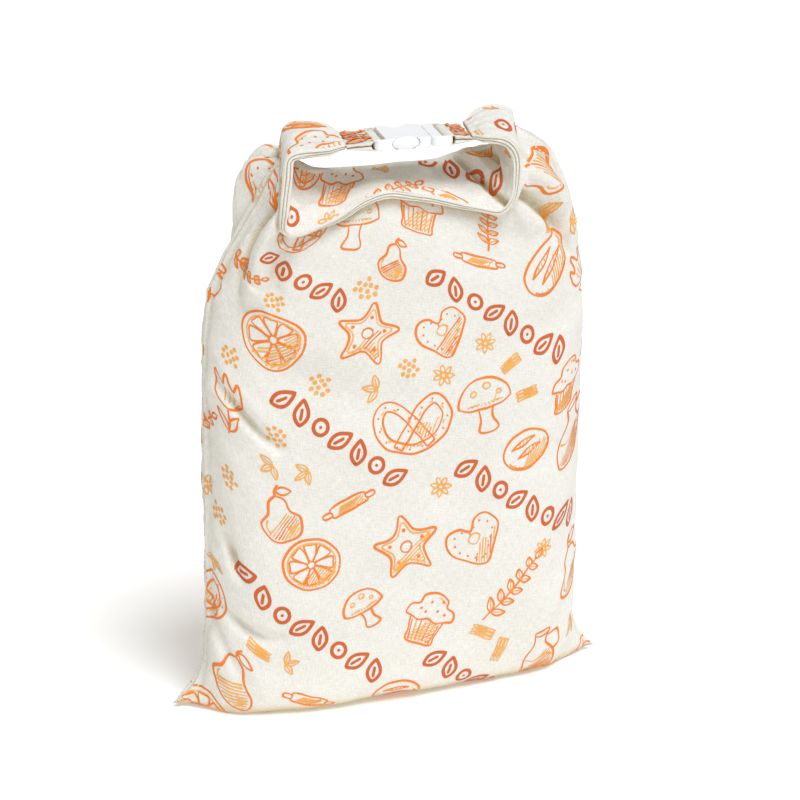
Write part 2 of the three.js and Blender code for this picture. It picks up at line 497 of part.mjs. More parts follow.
// A tab is a folded strip: out from the band's end, round the buckle half's bar and back.
function tab(dir) {
  // profile in X (towards the buckle) and Z, extruded across the strip; x 0 is the band's end
  const c = TAB_CLOTH, bar = BUCKLE_BAR, h = 2.2 + GAP;
  const near = dir < 0 ? BAND_END_L + GAP : BAND_END_R - GAP;
  const barOut = dir < 0 ? SOCKET_X0 : PRONG_X1;
  const reach = Math.abs(near - barOut);                         // band end to the bar
  const far = reach + bar + GAP;
  const s = new THREE.Shape();
  s.moveTo(0, -1 - c); s.lineTo(reach * 0.4, -h - c); s.lineTo(far, -h - c);
  s.quadraticCurveTo(far + c, -h - c, far + c, -h); s.lineTo(far + c, h); s.quadraticCurveTo(far + c, h + c, far, h + c);
  s.lineTo(reach * 0.4, h + c); s.lineTo(0, 1 + c); s.lineTo(0, 0.2);
  s.lineTo(reach * 0.42, h); s.lineTo(far, h); s.lineTo(far, -h); s.lineTo(reach * 0.42, -h); s.lineTo(0, -0.2);
  const g = new THREE.ExtrudeGeometry(s, { depth: TAB_WIDTH, bevelEnabled: false, curveSegments: 3 });
  g.translate(0, 0, -TAB_WIDTH / 2);
  const m = new THREE.Matrix4();
  // profile x runs towards the buckle, profile y up, the extrusion along -Y or +Y
  if (dir < 0) m.set(1, 0, 0, near, 0, 0, -1, 0, 0, 1, 0, 0, 0, 0, 0, 1);
  else m.set(-1, 0, 0, near, 0, 0, 1, 0, 0, 1, 0, 0, 0, 0, 0, 1);
  g.applyMatrix4(m);
  return solid(g);
}

// The band's two ends are cut square, where the tabs come out.
function endsCut(m) {
  const inside = solid(block(BAND_END_L, BAND_END_R, -80, 20, 446, 480));
  return m.subtract(inside);
}

// ---------------------------------------------------------------- the scene graph
const canvas = (name) => new THREE.MeshStandardMaterial({ name, color: 0xe9e3d2, roughness: 0.85, metalness: 0 });
const plastic = (name) => new THREE.MeshStandardMaterial({ name, color: 0xf1f2f4, roughness: 0.32, metalness: 0 });

const bag = new THREE.Group();
function put(parent, name, geometry, material) {
  const mesh = new THREE.Mesh(geometry, material);
  mesh.name = name;
  parent.add(mesh);
}
const mouth = solid(band());
const around = solid(band(GAP));              // the band and the gap round it, which the panels keep out of
const panelClear = (side) => solid(panel(side)).subtract(around).decompose()
  .sort((a, b) => b.volume() - a.volume())[0];
put(bag, 'front_panel', geometryOf(panelClear(-1)), canvas('front_panel'));
put(bag, 'back_panel', geometryOf(panelClear(1)), canvas('back_panel'));
put(bag, 'rolled_mouth', geometryOf(endsCut(mouth)), canvas('rolled_mouth'));

const buckle = new THREE.Group();
buckle.position.set(0, -39, 457.5);
buckle.rotation.x = BUCKLE_TILT * Math.PI / 180;
bag.add(buckle);
put(buckle, 'tab_left', geometryOf(tab(-1)), canvas('tab_left'));
put(buckle, 'tab_right', geometryOf(tab(1)), canvas('tab_right'));
put(buckle, 'buckle_socket', geometryOf(socket()), plastic('buckle_socket'));
put(buckle, 'buckle_prongs', geometryOf(prongs()), plastic('buckle_prongs'));

export default bag;
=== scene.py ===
# Looks of the roll-top bread bag: two printed canvas panels, filled and standing, the rolled mouth with its
# layered hem edges, the folded buckle tabs and the white side-release buckle, on a pale floor.
import json
import math

import bpy
import numpy as np
from mathutils import Matrix, Vector

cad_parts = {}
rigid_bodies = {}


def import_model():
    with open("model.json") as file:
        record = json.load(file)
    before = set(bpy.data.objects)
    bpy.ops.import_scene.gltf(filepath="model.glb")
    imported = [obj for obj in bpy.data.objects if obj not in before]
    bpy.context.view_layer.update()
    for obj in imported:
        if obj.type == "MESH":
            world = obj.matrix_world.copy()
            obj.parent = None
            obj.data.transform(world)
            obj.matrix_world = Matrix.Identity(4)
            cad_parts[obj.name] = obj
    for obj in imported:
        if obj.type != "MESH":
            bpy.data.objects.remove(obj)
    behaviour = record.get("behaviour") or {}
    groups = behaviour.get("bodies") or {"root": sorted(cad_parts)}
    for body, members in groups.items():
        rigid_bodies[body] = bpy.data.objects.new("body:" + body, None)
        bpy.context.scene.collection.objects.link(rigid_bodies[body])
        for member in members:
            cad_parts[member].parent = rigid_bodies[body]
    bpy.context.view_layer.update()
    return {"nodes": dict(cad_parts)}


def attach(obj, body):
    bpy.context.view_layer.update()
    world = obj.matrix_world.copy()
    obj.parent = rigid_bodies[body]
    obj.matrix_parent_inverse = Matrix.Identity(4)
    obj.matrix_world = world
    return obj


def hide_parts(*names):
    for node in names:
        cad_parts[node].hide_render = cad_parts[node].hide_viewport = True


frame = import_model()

MM = 0.001
RNG = np.random.default_rng(20)

# ------------------------------------------------------------------ sizes and tables (mm)
FLAT_WIDTH = 360.0
SHOULDER_Q = 350.0
TOP_Q = SHOULDER_Q + 112.0
GAP = 0.3
CLOTH = 1.2
BAND_THICK = 7.0
ACROSS, UP_BODY, UP_SHOULDER = 236, 226, 110

BODY_COLS = ("q", "xl", "xr", "zs", "yf", "zf", "yb", "zb", "nf", "nb", "ear", "lean")
BODY = [
    (0, -180, 180, 4, 0, 0, 0, 0, 2.4, 2.4, 26, 0.1),
    (10, -172.5, 174.5, 9.5, 10.5, 0, 10, 0, 2.9, 2.5, 26, 0.22),
    (22, -163, 166, 18, 23, 0, 22, 0, 3.0, 2.5, 30, 0.26),
    (33, -157, 160, 29, 34, 2.2, 32.5, 2.2, 3.0, 2.4, 42, 0.22),
    (47, -153, 157.5, 43, 45, 11, 44, 11, 2.9, 2.3, 52, 0.16),
    (64, -151, 157, 60, 51, 27, 50, 27, 2.8, 2.2, 60, 0.1),
    (95, -149.5, 157, 91, 55, 58, 53.5, 58, 2.7, 2.15, 70, 0.05),
    (140, -149, 157.5, 136, 57.5, 103, 56.5, 103, 2.6, 2.1, 74, 0.02),
    (200, -148.5, 158, 196, 58.5, 163, 58.5, 163, 2.5, 2.1, 76, 0),
    (260, -147.5, 158.5, 256, 58.5, 223, 58.5, 223, 2.5, 2.1, 76, 0),
    (310, -146, 158.5, 305, 57.5, 273, 57.5, 273, 2.5, 2.1, 76, 0),
    (350, -141, 157, 341, 56, 313, 55, 312, 2.45, 2.1, 76, 0),
]
SEAM_COLS = ("s", "xl", "yl", "zl", "xr", "yr", "zr")
SEAM = [
    (0, -141, 0, 341, 157, 0, 341),
    (0.25, -129, -6, 368, 152, 0, 370),
    (0.5, -116, -12, 391, 145, 0, 399),
    (0.75, -104, -20, 416, 130, -4, 430),
    (1, -93.5, -32, 446, 96.5, -22, 456),
]
RISE_COLS = ("u", "rise", "come", "in_x", "in_y", "in_z", "deep")
RISE_FRONT = [
    (0, 0.9, 0.7, 0.4, -0.5, 0.7, 0.62),
    (0.1, 0.95, 0.8, 0.62, -0.5, 0.5, 0.08),
    (0.17, 1.0, 0.8, 0.5, -0.4, 0.7, 0.04),
    (0.26, 1.0, 0.75, 0.1, 0.2, 0.97, 0.13),
    (0.5, 1.0, 0.75, 0, 0.3, 0.95, 0.13),
    (0.74, 1.0, 0.75, -0.1, 0.2, 0.97, 0.13),
    (0.83, 1.1, 0.9, -0.55, -0.5, 0.6, 0.04),
    (0.91, 1.4, 1.1, -0.7, -0.5, 0.2, 0.05),
    (0.96, 1.4, 1.1, -0.8, -0.3, 0.3, 0.35),
    (1, 1.2, 1.0, -0.8, -0.2, 0.5, 0.8),
]
RISE_BACK = [
    (0, 0.9, 0.7, 0.4, -0.5, 0.7, 0.62),
    (0.07, 1.6, 1.4, 0.8, -0.45, -0.4, 0.97),
    (0.16, 1.75, 1.5, 0.6, -0.65, -0.42, 1),
    (0.28, 1.25, 1.05, 0.1, -0.9, 0.3, 1),
    (0.5, 1.15, 1.0, 0, -0.9, 0.4, 1),
    (0.72, 1.25, 1.05, -0.1, -0.9, 0.3, 1),
    (0.84, 1.4, 1.2, -0.6, -0.75, -0.1, 1),
    (0.93, 1.4, 1.15, -0.85, -0.5, -0.1, 0.97),
    (1, 1.2, 1.0, -0.8, -0.2, 0.5, 0.8),
]
BAND_COLS = ("fx", "fy", "fz", "bx", "by", "bz")
BAND = [
    (-43, -54, 455, -43, -24, 460),        # left end
    (-62, -57, 454, -52, -15, 464),
    (-82, -58, 453.5, -70, -13, 467.5),
    (-92, -58, 450, -81, -13, 466),        # left corner
    (-94, -58, 436, -85, -15, 455),
    (-97, -57, 412, -83.5, -21, 444),
    (-97, -55, 397, -76, -25, 438),        # lower left
    (-85, -53, 392, -67, -21, 434.5),
    (-68, -52, 396.5, -54, -14, 431),
    (-52, -51, 402, -42, -8, 429.5),
    (-34, -50, 411.5, -28, -5, 428.5),
    (-16, -50, 416.5, -13, -4, 428),       # lip top
    (2, -50, 413.5, 5, -4, 429),
    (20, -51, 410, 22, -4, 429),
    (38, -52, 405, 39, -4, 430),
    (56, -54, 400.5, 53, -6, 434),
    (72, -56, 398, 67, -9, 436),           # lower right
    (81, -58, 408, 79, -11, 440),
    (83.5, -58, 425, 88, -13, 450),
    (82.5, -58, 440, 92, -14, 460),
    (76, -58, 450, 90, -14, 468),          # right corner
    (64, -58, 454.5, 72, -14, 469.5),
    (44, -54, 455, 44, -24, 460),          # right end
]
LEFT_CORNER = {-1: 4.0, 1: 3.4}
RIGHT_CORNER = 19.0
BAND_END_L, BAND_END_R = -47.0, 48.0

# folds on the flat cloth: p0, q0, p1, q1, height, half width
FOLDS_FRONT = [
    (-160, 468, -165, 424, -12, 5.2),      # pleat beside the left seam
    (-166, 430, -154, 400, -10.5, 5.4),
    (-143, 466, -135, 384, 8.5, 10),        # the full fold to its right, and its round end
    (-138, 392, -141, 380, 4.5, 10),
    (-154, 400, -155, 382, -5.2, 4.8),      # shade round the fold's end
    (-155, 382, -147, 367, -3.8, 5.0),
    (-113, 436, -119, 386, -6.0, 6.5),
    (-122, 372, -138, 360, -3.6, 7),
    (-126, 468, -121, 452, -7, 5),          # hollows under the roll's corners
    (121, 468, 119, 452, -4.5, 6),
    (139, 466, 138, 424, -12, 5.2),        # pleat below the right corner
    (139, 428, 142, 396, -10.5, 5.2),
    (142, 398, 148, 364, -6.5, 5.5),
    (154, 460, 156, 392, 8.5, 8),
    (124, 462, 122, 424, 2.6, 6),
    (131, 430, 131, 412, 3.0, 5.0),
    (173, 468, 158, 448, -5.5, 3.2),
    (178, 452, 165, 426, -3.6, 3.0),
    (165, 466, 154, 444, 3.2, 3.2),
    (156, 468, 146, 440, -4.5, 3.2),
    (-166, 250, -152, 90, -3, 16),
    (-157, 287, -108, 263, -6.2, 5.3),
    (-146, 296, -106, 277, 1.8, 8),
    (-138, 339, -28, 289, -3.9, 15),
    (-152, 164, -141, 144, -7.8, 6.4),
    (-162, 100, -108, 105, -6.2, 6),
    (-174, 86, -136, 64, -3.2, 6.5),
    (158, 300, 150, 120, -1.6, 14),
    (150, 92, 118, 60, -1.8, 12),
]
FOLDS_BACK = [
    (-143, 436, -168, 345, -11, 17),
    (-132, 440, -84, 438, 8, 13),
    (-160, 428, -104, 448, -4.0, 4.0),
    (124, 452, 140, 350, -4, 12),
    (30, 440, -40, 340, -2.5, 24),
    (-60, 300, -140, 250, -2, 24),
    (156, 260, 150, 100, -3, 16),
    (100, 455, 92, 400, 2.5, 10),
    (70, 458, 58, 408, -2.5, 9),
    (-40, 458, -30, 410, -2.2, 9),
    (-150, 110, -96, 84, -2.2, 12),
    (150, 110, 100, 80, -2.2, 12),
]


# ------------------------------------------------------------------ small tools
def smooth(t):
    k = np.clip(t, 0, 1)
    return k * k * (3 - 2 * k)


def unit(a):
    return a / np.maximum(np.linalg.norm(a, axis=-1, keepdims=True), 1e-9)


def mix(a, b, t):
    return a + (b - a) * t


def track(rows, cols):
    """Smooth track through a table's rows by their first column, without overshoot."""
    data = np.array(rows, float)
    xs = data[:, 0]
    out = {}
    for ci, c in enumerate(cols[1:], 1):
        y = data[:, ci]
        h = np.diff(xs)
        d = np.diff(y) / h
        m = np.zeros(len(xs))
        m[0], m[-1] = d[0], d[-1]
        for i in range(1, len(xs) - 1):
            if d[i - 1] * d[i] > 0:
                w1, w2 = 2 * h[i] + h[i - 1], h[i] + 2 * h[i - 1]
                m[i] = (w1 + w2) / (w1 / d[i - 1] + w2 / d[i])
        out[c] = (y, m)

    def at(x):
        x = np.asarray(x, float)
        i = np.clip(np.searchsorted(xs, x, side="right") - 1, 0, len(xs) - 2)
        h = xs[i + 1] - xs[i]
        t = (x - xs[i]) / h
        r = {}
        for c, (y, m) in out.items():
            r[c] = ((2 * t**3 - 3 * t**2 + 1) * y[i] + (t**3 - 2 * t**2 + t) * m[i] * h
                    + (-2 * t**3 + 3 * t**2) * y[i + 1] + (t**3 - t**2) * m[i + 1] * h)
        return r

    return at


def roundspline(points, closed=False, step=1.0):
    """Catmull-Rom curve through 2-D or 3-D points, resampled at an even step."""
    P = np.asarray(points, float)
    n = len(P)
    if closed:
        Q = np.vstack([P[-1], P, P[0], P[1]])
        segs = n
    else:
        Q = np.vstack([2 * P[0] - P[1], P, 2 * P[-1] - P[-2]])
        segs = n - 1
    t = np.linspace(0, 1, 13)[:-1, None]
    out = []
    for i in range(segs):
        p0, p1, p2, p3 = Q[i], Q[i + 1], Q[i + 2], Q[i + 3]
        out.append(0.5 * (2 * p1 + (p2 - p0) * t + (2 * p0 - 5 * p1 + 4 * p2 - p3) * t * t
                          + (3 * p1 - p0 - 3 * p2 + p3) * t**3))
    out = np.vstack(out + [(P[0] if closed else P[-1])[None]])
    return resample(out, step)


def resample(line, step):
    d = np.r_[0, np.cumsum(np.linalg.norm(np.diff(line, axis=0), axis=1))]
    n = max(2, int(math.ceil(d[-1] / step)) + 1)
    s = np.linspace(0, d[-1], n)
    return np.stack([np.interp(s, d, line[:, k]) for k in range(line.shape[1])], 1)


_waves = {}


def ripple(name, a, b, scale, octaves=2):
    """Smooth seeded noise, about -1 to 1, over two coordinates in mm; scale is the size of its swells."""
    if name not in _waves:
        g = np.random.default_rng(sum(ord(c) * (i + 3) for i, c in enumerate(name)))
        _waves[name] = (g.uniform(0, 2 * np.pi, 14), g.uniform(0, 2 * np.pi, 14), g.uniform(0.7, 1.4, 14))
    ang, ph, k = _waves[name]
    out = 0
    for o in range(octaves):
        f = 2 * np.pi / (scale / 2**o)
        for i in range(7):
            j = o * 7 + i
            out = out + np.sin((a * np.cos(ang[j]) + b * np.sin(ang[j])) * f * k[j] + ph[j]) / (2.2 * 1.9**o)
    return out / 1.6


# ------------------------------------------------------------------ the rolled band's frame
_band = np.array(BAND, float)


def band_at(x):
    x = np.atleast_1d(np.asarray(x, float))
    n = len(_band)
    i = np.clip(np.floor(x).astype(int), 0, n - 2)
    t = (x - i)[:, None]
    p1, p2 = _band[i], _band[i + 1]
    p0 = np.where((i > 0)[:, None], _band[np.maximum(i - 1, 0)], 2 * p1 - p2)
    p3 = np.where((i + 2 < n)[:, None], _band[np.minimum(i + 2, n - 1)], 2 * p2 - p1)
    return 0.5 * (2 * p1 + (p2 - p0) * t + (2 * p0 - 5 * p1 + 4 * p2 - p3) * t * t + (3 * p1 - p0 - 3 * p2 + p3) * t**3)


def band_frame(x):
    x = np.atleast_1d(np.asarray(x, float))
    r = band_at(x)
    f, b = r[:, :3], r[:, 3:]
    r0, r1 = band_at(np.maximum(x - 0.05, 0)), band_at(np.minimum(x + 0.05, len(BAND) - 1))
    along = unit((r1[:, :3] + r1[:, 3:]) - (r0[:, :3] + r0[:, 3:]))
    w = unit(b - f)
    return {"f": f, "b": b, "w": w, "along": along, "out": unit(np.cross(w, along)),
            "width": np.linalg.norm(b - f, axis=1)[:, None]}


# ------------------------------------------------------------------ the panels
body_at = track(BODY, BODY_COLS)
seam_at = track(SEAM, SEAM_COLS)
rise_at = {-1: track(RISE_FRONT, RISE_COLS), 1: track(RISE_BACK, RISE_COLS)}


def body_row(q, side, u):
    r = {k: float(v) for k, v in body_at(q).items()}
    deep = max(r["yf"] if side < 0 else r["yb"], 0.001)
    zm = r["zf"] if side < 0 else r["zb"]
    n = r["nf"] if side < 0 else r["nb"]
    half, mid = (r["xr"] - r["xl"]) / 2, (r["xl"] + r["xr"]) / 2
    a = np.pi * np.linspace(0, 1, 601)
    c = -np.sign(np.cos(a)) * np.abs(np.cos(a)) ** (2 / n)
    s = np.abs(np.sin(a)) ** (2 / n)
    ln = np.r_[0, np.cumsum(np.hypot(np.diff(c) * half, np.diff(s) * deep))]
    want = u * ln[-1]
    cu, su = np.interp(want, ln, c), np.interp(want, ln, s)
    d = np.minimum(u, 1 - u) * ln[-1]
    return np.stack([mid + half * cu, side * deep * su * (1 - r["lean"] * cu), mix(r["zs"], zm, smooth(d / r["ear"]))], 1)


def shoulder_rows(side, u, s):
    """Rows of the shoulders' cloth at each s, 0 at the shoulder and 1 at the band."""
    k = band_frame(mix(LEFT_CORNER[side], RIGHT_CORNER, u))
    a, low = body_row(SHOULDER_Q, side, u), body_row(SHOULDER_Q - 6, side, u)
    rise = unit(a - low)
    r = rise_at[side](u)
    under = np.minimum(smooth((u - 0.16) / 0.1), smooth((0.84 - u) / 0.1))[:, None]
    rnd = BAND_THICK / 2
    lift = rnd + GAP + 0.4 + CLOTH
    deep = r["deep"][:, None]
    x = deep * k["width"] if side < 0 else deep * (k["width"] - rnd + lift * np.pi / 2)
    turn = np.maximum(x - (k["width"] - rnd), 0) / lift
    foot = k["f"] + k["w"] * np.minimum(x, k["width"] - rnd)
    off = lift - CLOTH * under if side < 0 else lift
    end = foot + k["out"] * off * np.cos(turn) + k["w"] * lift * np.sin(turn)
    come = unit(np.stack([r["in_x"], r["in_y"], r["in_z"]], 1))
    reach = np.linalg.norm(end - a, axis=1)[:, None]
    m0, m1 = rise * reach * r["rise"][:, None], come * reach * r["come"][:, None]
    rows = []
    for t in s:
        rows.append((2 * t**3 - 3 * t**2 + 1) * a + (t**3 - 2 * t**2 + t) * m0
                    + (-2 * t**3 + 3 * t**2) * end + (t**3 - t**2) * m1)
    return rows


def grid_normals(G, side):
    du = np.empty_like(G)
    du[:, 1:-1] = G[:, 2:] - G[:, :-2]
    du[:, 0], du[:, -1] = G[:, 1] - G[:, 0], G[:, -1] - G[:, -2]
    dv = np.empty_like(G)
    dv[1:-1] = G[2:] - G[:-2]
    dv[0], dv[-1] = G[1] - G[0], G[-1] - G[-2]
    n = unit(np.cross(du, dv))
    return n if side < 0 else -n


def fold_height(folds, P, Q):
    out = 0.0
    for p0, q0, p1, q1, high, wide in folds:
        dx, dq = p1 - p0, q1 - q0
        t = ((P - p0) * dx + (Q - q0) * dq) / (dx * dx + dq * dq)
        k = np.clip(t, 0, 1)
        d = np.hypot(P - p0 - k * dx, Q - q0 - k * dq)
        out = out + high * np.exp(-((d / wide) ** 2)) * (0.35 + 0.65 * np.sin(np.pi * np.clip(t, 0.06, 0.94)))
    return out


def wrinkles(name, P, Q):
    """Small seeded creases: across the cloth from the side seams, fanning out of the bottom corners, and down from the roll."""
    g = np.random.default_rng(sum(ord(c) for c in name) + 4)
    out = 0.0
    for side_ in (-1, 1):
        for _ in range(26):                        # from the side seams
            q0, L = g.uniform(40, 430), g.uniform(10, 34)
            a = g.uniform(-0.5, 0.5)
            p0 = side_ * g.uniform(168, 178)
            out = out + crease(P, Q, p0, q0, p0 - side_ * L * math.cos(a), q0 + L * math.sin(a), g.uniform(-1.3, 0.9), g.uniform(2.2, 4.8))
        for _ in range(15):                        # from the bottom corners
            a, r0, L = g.uniform(0.12, 1.35), g.uniform(10, 34), g.uniform(16, 48)
            p0, q0 = side_ * (180 - r0 * math.cos(a)), r0 * math.sin(a)
            out = out + crease(P, Q, p0, q0, p0 - side_ * L * math.cos(a), q0 + L * math.sin(a), g.uniform(-1.4, 0.9), g.uniform(2.4, 5))
    for _ in range(30):                            # from the rolled mouth
        p0, L = g.uniform(-165, 165), g.uniform(10, 38)
        p1 = p0 * 0.98 + g.uniform(-9, 9)
        k = 1.0 if abs(p0) > 95 else 0.45
        out = out + crease(P, Q, p0, 464, p1, 462 - L, k * g.uniform(-1.5, 1.0), g.uniform(2.4, 5.5))
    for _ in range(16):                            # along the bottom fold
        p0, L = g.uniform(-150, 150), g.uniform(8, 24)
        out = out + crease(P, Q, p0, g.uniform(2, 12), p0 + g.uniform(-8, 8), 12 + L, g.uniform(-0.7, 0.4), g.uniform(3, 6))
    return out


def crease(P, Q, p0, q0, p1, q1, high, wide):
    dx, dq = p1 - p0, q1 - q0
    t = np.clip(((P - p0) * dx + (Q - q0) * dq) / (dx * dx + dq * dq), 0, 1)
    d = np.hypot(P - p0 - t * dx, Q - q0 - t * dq)
    return high * (1 - t) ** 0.6 * np.exp(-((d / (wide * (0.7 + 0.6 * t))) ** 2))


def panel_surface(side):
    """The panel's outer surface as a fine grid: points and the flat cloth's coordinates p and q."""
    t = np.linspace(0, 1, ACROSS + 1)
    u = t - 0.03 * np.sin(2 * np.pi * t)
    vb = np.linspace(0, 1, UP_BODY + 1) ** 1.1
    s = np.linspace(0, 1, UP_SHOULDER + 1)[1:]
    rows = [body_row(v * SHOULDER_Q, side, u) for v in vb]
    up, ends = shoulder_rows(side, u, s), shoulder_rows(side, np.array([0.0, 1.0]), s)
    sm = seam_at(s)
    wl, wr = (1 - smooth(u / 0.16))[:, None], (1 - smooth((1 - u) / 0.16))[:, None]
    for j in range(len(s)):
        L = np.array([sm["xl"][j], sm["yl"][j], sm["zl"][j]])
        R = np.array([sm["xr"][j], sm["yr"][j], sm["zr"][j]])
        rows.append(up[j] + wl * (L - ends[j][0]) + wr * (R - ends[j][1]))
    G = np.array(rows)
    seam = G[:, [0, -1]].copy()
    q = np.r_[vb * SHOULDER_Q, SHOULDER_Q + (TOP_Q - SHOULDER_Q) * s]
    v = np.r_[vb, 1 + s]
    P, Q = np.meshgrid((u - 0.5) * FLAT_WIDTH, q)
    n = grid_normals(G, side)
    quiet = np.minimum(np.minimum(smooth((2 - v) / 0.05)[:, None], smooth(u / 0.03)[None]), smooth((1 - u) / 0.03)[None])
    d = FLAT_WIDTH / 2 - np.abs(P)
    h = fold_height(FOLDS_FRONT if side < 0 else FOLDS_BACK, P, Q) * quiet
    edge = np.exp(-d / 30)
    name = "front" if side < 0 else "back"
    low = np.exp(-np.maximum(Q - 40, 0) / 45)
    fine = (0.55 + 1.0 * edge + 0.6 * low) * ripple(name + "swell", P, Q, 85) * smooth(d / 8)
    fine = fine + (0.5 * np.exp(-d / 12) + 0.25 * np.exp(-np.abs(Q - 24) / 16)) * ripple(name + "pucker", P * 0.35, Q, 17, 1) * smooth(d / 3)
    fine = fine + 0.12 * ripple(name + "grain", P, Q, 19) + wrinkles(name, P, Q) * smooth(d / 4)
    full = smooth((v - 0.8) / 0.4)[:, None]        # the seam stands out more at the shoulders
    ridge = (1.2 + 0.9 * full) * np.exp(-(((d - 2.6) / 1.8) ** 2)) - (1.1 + 1.3 * full) * np.exp(-(((d - 7.4) / 2.3) ** 2))
    G = G + n * (h + (fine + ridge) * smooth((2 - v) / 0.08)[:, None] * smooth(Q / 10))[..., None]
    # side by side at the seams
    G[..., 1] += side * 0.16 * np.exp(-((d / 5) ** 2))
    G[..., 2] = np.maximum(G[..., 2], 0.05)
    return {"G": G, "P": P, "Q": Q, "u": u, "v": v, "q": q, "side": side, "seam": seam}


def tree_of(centre):
    from mathutils.kdtree import KDTree
    tree = KDTree(len(centre))
    for i, c in enumerate(centre):
        tree.insert(c, i)
    tree.balance()
    return tree


def keep_off(points, centre, radius, tree):
    """Moves points that are nearer than radius to the band's middle sheet out to that distance."""
    flat = points.reshape(-1, 3)
    lo, hi = centre.min(0) - radius - 1, centre.max(0) + radius + 1
    for k in np.nonzero(np.all((flat > lo) & (flat < hi), axis=1))[0]:
        c, _, dist = tree.find(flat[k])
        if dist < radius:
            flat[k] = np.array(c) + (flat[k] - np.array(c)) * (radius / max(dist, 1e-6))
    return flat.reshape(points.shape)


def new_object(name, verts, faces, uvs, mats, mat_index=None, smooth_shade=True):
    """faces: (n, 4) or (n, 3) corner indices; uvs: {map: (n verts, 2)}, per vertex."""
    me = bpy.data.meshes.new(name)
    faces = np.asarray(faces, np.int32)
    k = faces.shape[1]
    me.vertices.add(len(verts))
    me.vertices.foreach_set("co", (np.asarray(verts, float) * MM).astype(np.float32).ravel())
    me.loops.add(faces.size)
    me.loops.foreach_set("vertex_index", faces.ravel())
    me.polygons.add(len(faces))
    me.polygons.foreach_set("loop_start", np.arange(0, faces.size, k, dtype=np.int32))
    me.update(calc_edges=True)
    for m in mats:
        me.materials.append(m)
    if mat_index is not None:
        me.polygons.foreach_set("material_index", np.asarray(mat_index, np.int32))
    for uname, uv in uvs.items():
        layer = me.uv_layers.new(name=uname)
        layer.data.foreach_set("uv", np.asarray(uv, np.float32)[faces.ravel()].ravel())
    me.polygons.foreach_set("use_smooth", np.full(len(faces), smooth_shade, bool))
    me.validate()
    me.update()
    o = bpy.data.objects.new(name, me)
    bpy.context.scene.collection.objects.link(o)
    return o


def grid_faces(nv, nu, flip):
    i, j = np.meshgrid(np.arange(nu - 1), np.arange(nv - 1))
    a = (j * nu + i).ravel()
    f = np.stack([a, a + 1, a + nu + 1, a + nu], 1)
    return f[:, ::-1] if flip else f


# ------------------------------------------------------------------ materials
def nodes_of(mat):
    mat.use_nodes = True
    nt = mat.node_tree
    nt.nodes.clear()
    out = nt.nodes.new("ShaderNodeOutputMaterial")
    b = nt.nodes.new("ShaderNodeBsdfPrincipled")
    nt.links.new(b.outputs[0], out.inputs[0])
    return nt, b


def add_node(nt, kind, **inputs):
    n = nt.nodes.new(kind)
    for k, v in inputs.items():
        if k.startswith("_"):
            setattr(n, k[1:], v)
        else:
            n.inputs[k].default_value = v
    return n


